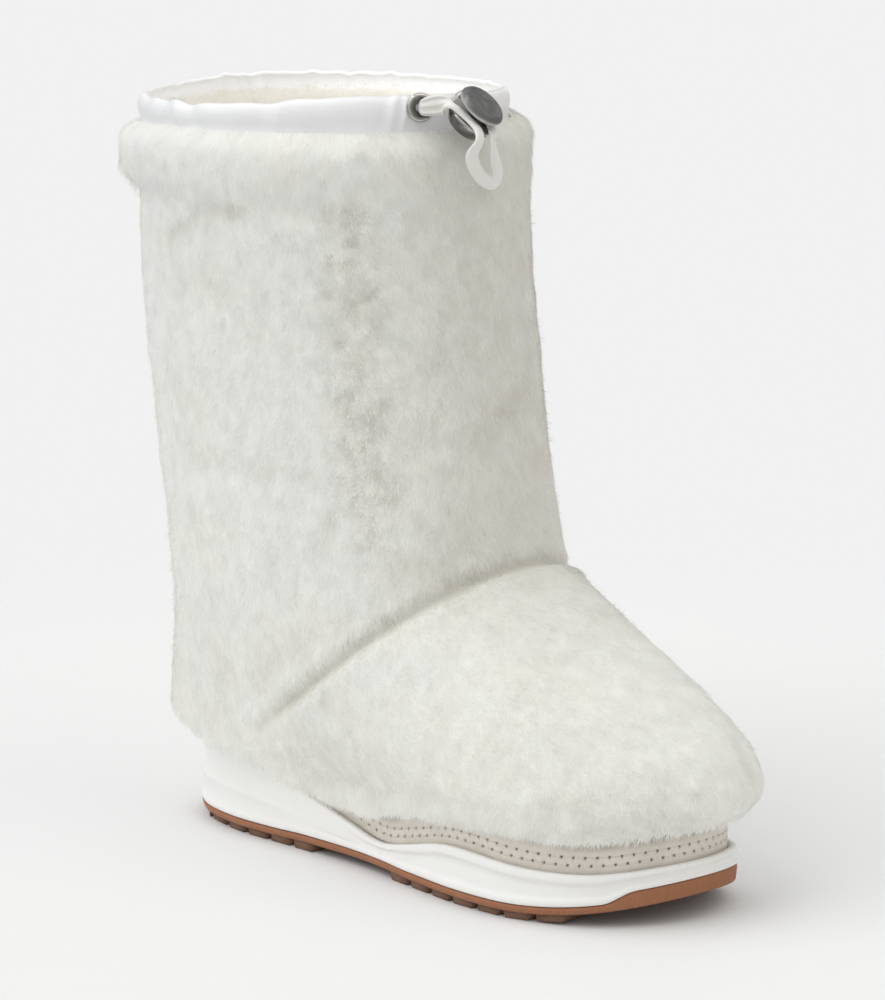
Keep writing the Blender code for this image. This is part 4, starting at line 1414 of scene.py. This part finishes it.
def add_blades(name, corners, normals, tone_and_painted_shade, spots, material):
    """Many three-cornered blades as one mesh, with the pelt\'s normals and their spots in its flat map."""
    count = len(corners)
    mesh = bpy.data.meshes.new(name)
    mesh.vertices.add(count * 3)
    mesh.vertices.foreach_set("co", to_metres(corners).astype(np.float32).ravel())
    mesh.loops.add(count * 3)
    mesh.loops.foreach_set("vertex_index", np.arange(count * 3, dtype=np.int32))
    mesh.polygons.add(count)
    mesh.polygons.foreach_set("loop_start", np.arange(0, count * 3, 3, dtype=np.int32))
    mesh.polygons.foreach_set("use_smooth", np.ones(count, bool))
    mesh.update(calc_edges=True)
    mesh.normals_split_custom_set_from_vertices(normals.reshape(-1, 3).tolist())
    piece = add_part(name, mesh, material)
    piece.visible_shadow = False
    piece.visible_diffuse = False
    flat_map = mesh.uv_layers.new(name="OFBake")
    cells = np.clip(spots, 0.01, 0.99)[:, None, :] + BAKE_CELL[None]
    flat_map.data.foreach_set("uv", cells.astype(np.float32).ravel())
    add_values(piece, "tone_and_painted_shade", tone_and_painted_shade)


def smooth_over(field, rows):
    """A field of ring values averaged over so many neighbouring rows."""
    reach = rows // 2
    padded = np.concatenate([field[:1]] * reach + [field] + [field[-1:]] * reach)
    total = np.cumsum(np.concatenate([np.zeros_like(field[:1]), padded]), 0)
    return (total[rows:] - total[:-rows]) / rows


def build_upper():
    grid, painted_shade, starts = fur_surface()
    normals = fur_normals(grid)
    seam = starts[SEAM_ROW]
    deep = bump(climb_from(grid, seam), SEAM_SKIN_HALF) * smoothstep(*SEAM_FADE, grid[seam, :, 0])
    under = SKIN_UNDER + SEAM_SKIN * deep
    skin = (grid - normals * under[:, :, None])[::2, ::2]
    shares = np.interp(np.arange(len(grid)), starts, wall_shares(len(starts)))
    calm = unit(smooth_over(normals, LINING_CALM))
    lining = (grid - calm * (WALL * shares - 0.5)[:, None, None])[::2, ::2]
    shell = looped(np.concatenate([skin, lining[::-1]]))
    hide = add_piece("upper_hide", *shell, HIDE, "upper")
    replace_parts(hide, "upper")
    # Painted shade for the hide, taken from the fur's painted shade; none on the lining
    dark = np.concatenate([painted_shade[::2, ::2], np.zeros(lining.shape[:2])])
    add_values(hide, "painted_shade", np.clip(dark, 0, 1))
    pelt = Pelt(grid, painted_shade=painted_shade)
    for index, growth in enumerate(GROWTHS):
        rng = np.random.default_rng(SEED + 100 + index)
        grow_fur(pelt, growth, (starts[growth.low], starts[growth.high]), rng, FUR)
    inner = Pelt(grid - calm * (WALL * shares - 0.5)[:, None, None], inward=True)
    span = (starts[SHAFT_WOOL.low], starts[SHAFT_WOOL.high])
    grow_fur(inner, SHAFT_WOOL, span, np.random.default_rng(SEED + 120), FLEECE)


# Collar

COLLAR_AROUND = 480
COLLAR_STEPS = 4
COLLAR_FOLDS = 40
RIM_STEPS = 4
RIM_THIN = 0.5
RIM_CALM = 9
# Pinched folds: where round the collar, half-width and slant in degrees, and depth in millimetres
Fold = namedtuple("Fold", "degrees half slant depth")
COLLAR_PINCHES = [
    Fold(-141, 5.5, 4, 1.3), Fold(-128, 4.5, 2, -0.9), Fold(-116, 4.5, -3, 0.8), Fold(-100, 3.0, -5, 1.8),
    Fold(-93.5, 2.8, -4, -1.5), Fold(-72, 5.0, 3, -0.9), Fold(-55, 4.0, -4, 0.9), Fold(-31, 1.8, 3, 1.8),
    Fold(-26.5, 1.5, 2, 1.6),
    Fold(30, 1.6, 2, 0.9),
    Fold(62, 1.8, -2, 1.1), Fold(88, 1.6, 3, -1.0), Fold(104, 1.7, 2, 1.2), Fold(118, 1.8, 2, -1.2),
    Fold(134, 2.0, -2, 1.4), Fold(150, 2.2, 3, -1.5), Fold(166, 2.4, -3, 1.6), Fold(183, 1.8, 2, -1.0),
]


def collar_folds(height):
    """How far the collar's cloth is pushed out and its rim lifted by gathers, at each row and angle."""
    angle = ring_angles(COLLAR_AROUND)
    rng = np.random.default_rng(SEED + 50)
    folds = [Fold(rng.uniform(0, 360), rng.uniform(0.7, 2.4), rng.normal(0, 4), rng.normal(0, 0.4))
             for _ in range(COLLAR_FOLDS)]
    push = np.zeros((len(height), COLLAR_AROUND))
    for fold in folds + COLLAR_PINCHES:
        at, half, slant = (math.radians(v) for v in (fold.degrees, fold.half, fold.slant))
        apart = wrapped(angle[None, :] - at - slant * height[:, None])
        pinch = bump(apart, half) - 0.4 * bump(apart, 2.4 * half)
        push += fold.depth * pinch * (0.15 + 0.85 * np.clip(1 - (height[:, None] / 0.65 - 1) ** 2, 0, 1))
    calm = smoothstep(0.12, 0.25, np.abs(wrapped(angle - HARDWARE_AT)))
    return np.clip(push, -2.0, 2.0) * calm[None, :]


def build_collar():
    """The satin collar as one sheet: up the outside in gathers, over the rim, and down the inside."""
    outer = smooth_rows(collar_rings(fur_rings(COLLAR_AROUND)), COLLAR_STEPS)
    rows = len(outer)
    foot = COLLAR_STEPS * (COLLAR_TUCK - 1)
    height = np.clip((np.arange(rows) - foot) / (rows - 1 - foot), 0, 1)
    push = collar_folds(height)
    outer = outer + grid_normals(outer) * push[:, :, None]
    thrice = smooth_over(np.concatenate([push[-1]] * 3)[:, None], RIM_CALM)
    lift = thrice[COLLAR_AROUND : 2 * COLLAR_AROUND, 0]
    outer[:, :, 2] += np.clip(0.5 * lift, -0.6, 0.6)[None, :] * height[:, None]
    thick = COLLAR_WALL * (0.92 - (0.92 - RIM_THIN) * height)
    inner = outer - grid_normals(outer) * thick[:, None, None]
    middle = (outer[-1] + inner[-1]) / 2
    rise = np.array([0, 0, COLLAR_WALL * RIM_THIN / 2])
    rim = []
    for t in np.linspace(0, math.pi, RIM_STEPS + 2)[1:-1]:
        rim.append(middle + (outer[-1] - middle) * math.cos(t) + rise * math.sin(t))
    sheet = np.concatenate([outer, rim, inner[::-1]])
    faces = ring_faces(len(sheet), COLLAR_AROUND)
    collar = add_piece("collar_satin", sheet.reshape(-1, 3), faces, SATIN, "collar")
    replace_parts(collar, "collar")
    steps = np.linalg.norm(np.diff(inner[::-1], axis=0), axis=2)
    depth = np.concatenate([np.zeros((rows + RIM_STEPS + 1, COLLAR_AROUND)), np.cumsum(steps, 0)])
    add_values(collar, "wool", smoothstep(FACING_DEPTH - 1, FACING_DEPTH + 0.5, depth))
    span = (COLLAR_WOOL.low, COLLAR_WOOL.high)
    grow_fur(Pelt(inner, inward=True), COLLAR_WOOL, span, np.random.default_rng(SEED + 121), FLEECE)


# Eyelets, cord lock and drawcord

# Turned profiles: (radius, height) up the outside, and the edge of each that gets a painted highlight
EYELET_HIGHLIGHT = (5.6, 1.7)
PLATE_HIGHLIGHT = (10.4, -0.4)
BUTTON_HIGHLIGHT = (10.4, 5.4)
EYELET_PROFILE = [
    (2.2, -3.4), (3.0, -3.4), (3.0, 0.4), (6.0, 0.4), (6.2, 0.9), (5.6, 1.7), (4.2, 1.9), (2.6, 1.5),
    (2.2, 0.8),
]
LOCK_BODY_PROFILE = [
    (0, -8.2), (4.5, -7.9), (8.0, -6.2), (9.8, -3.4), (10.4, -1.6), (10.4, -0.4), (10.0, 0),
    (2.0, 0), (2.0, -6.6), (0, -6.6),
]
LOCK_BUTTON_PROFILE = [
    (0, -4.2), (1.7, -4.2), (1.7, 4.6), (9.6, 4.6), (10.4, 5.4), (10.4, 6.8), (9.2, 8.4), (8.2, 8.6),
    (7.6, 8.3), (0, 8.0),
]


def turned(name, node, profile, soft, edge, place, material, slot, body=BOOT):
    """A turned metal piece with soft corners, in place of a node."""
    piece = lathe(name, rounded(profile, soft), place, material, slot, body, edge)
    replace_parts(piece, node)
    return piece


def build_hardware():
    """Eyelets, lock and button in metal; returns the eyelets' places and the lock's pieces."""
    grid = collar_rings(fur_rings(CAD_AROUND))
    places = []
    for name, angle in (("eyelet_lateral", EYELET_LATERAL_AT), ("eyelet_medial", EYELET_MEDIAL_AT)):
        place = facing(*on_grid(grid, EYELET_ROW, angle))
        turned(name + "_ring", name, EYELET_PROFILE, 0.4, EYELET_HIGHLIGHT, place, GUNMETAL, "eyelet")
        places.append(place)
    centre, axis, _, _ = lock_frame()
    lock = [facing(centre, axis), GUNMETAL, "lock_body"]
    body = turned("lock_housing", "lock_body", LOCK_BODY_PROFILE, 0.5, PLATE_HIGHLIGHT, *lock)
    cap = [facing(centre, axis), CAP, "lock_button", BUTTON]
    button = turned("lock_cap", "lock_button", LOCK_BUTTON_PROFILE, 0.45, BUTTON_HIGHLIGHT, *cap)
    return places, [body, button]


def build_drawcord(eyelets):
    """One flat cord: out of one eyelet, through the lock, round a hanging loop, back to the other eyelet."""
    centre, axis, run, side = lock_frame()
    ends = []
    for place in eyelets:
        out = place.to_3x3() @ Vector((0, 0, 1))
        start = place.translation + out * CORD_FROM_EYELET
        ends.append([start, start + out * CORD_STRAIGHT])
    ways = []
    for way in (LATERAL_WAY, MEDIAL_WAY):
        ways.append([centre + side * p.side + run * p.run + axis * p.above for p in way])
    loop = [Vector((p.x, p.y, p.z)) for p in LOOP_POINTS]
    path = ends[0] + ways[0] + loop + ways[1][::-1] + ends[1][::-1]
    fan = toward(CORD_FAN_LOOKS, 0)
    looks = [fan] + [axis] * (len(ways[0]) - 1) + [toward(p.looks, 0) for p in LOOP_POINTS]
    looks += [axis] * len(ways[1])
    upright = Vector((0, 0, 1))
    ahead = [b - a for a, b in zip(path[1:], path[3:])]
    broad = [look.cross(way).normalized() for look, way in zip(looks, ahead)]
    broad = [upright] * 2 + broad + [upright] * 2
    width = [CORD_BUNCHED, CORD_FANNED] + [p.wide for p in LATERAL_WAY] + [CORD_WIDTH] * len(loop)
    width += [p.wide for p in reversed(MEDIAL_WAY)] + [CORD_FANNED, CORD_BUNCHED]
    rows = smooth_rows([(*p, *b, w) for p, b, w in zip(path, broad, width)], 8)
    around = 20
    points, faces = tube(rows[:, :3], rows[:, 3:6], rows[:, 6], CORD_THICK, around)
    cord = add_piece("drawcord_tape", points, faces, CORD, "drawcord")
    along = run_along(rows[:, :3])
    add_values(cord, "along", np.repeat(along, around))
    add_values(cord, "fan", np.repeat(np.clip((rows[:, 6] - CORD_WIDTH) / 2.0, 0, 1), around))
    add_values(cord, "across", np.tile(np.cos(ring_angles(around)), len(rows)))
    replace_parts(cord, "drawcord")
    route = to_metres(smooth_rows([tuple(p) for p in path], 2))


OUTSOLE = outsole_material()
MIDSOLE = midsole_material()
RAND = rand_material()
THREAD = thread_material()
WOOL = skin_material("insole_wool", (0.78, 0.73, 0.63))
HIDE = skin_material("fur_hide", (0.93, 0.92, 0.88))
FUR = fur_material("sheared_fur", (0.928, 0.936, 0.908), (0.60, 0.585, 0.505))
SATIN = collar_material()
CORD = cord_material()
FLEECE = fur_material("lining_fleece", (0.93, 0.915, 0.865), (0.74, 0.71, 0.63))
GUNMETAL = gunmetal_material("polished_gunmetal", (0.17, 0.165, 0.16), 0.16, 0.5)
CAP = gunmetal_material("matte_gunmetal", (0.23, 0.23, 0.23), 0.5, 0.4)

build_camera()
build_world()
build_lamps()
build_floor()
EYELETS, LOCK = build_hardware()
build_drawcord(EYELETS)
build_outsole()
build_midsole()
build_rand()
build_insole()
build_upper()
build_collar()
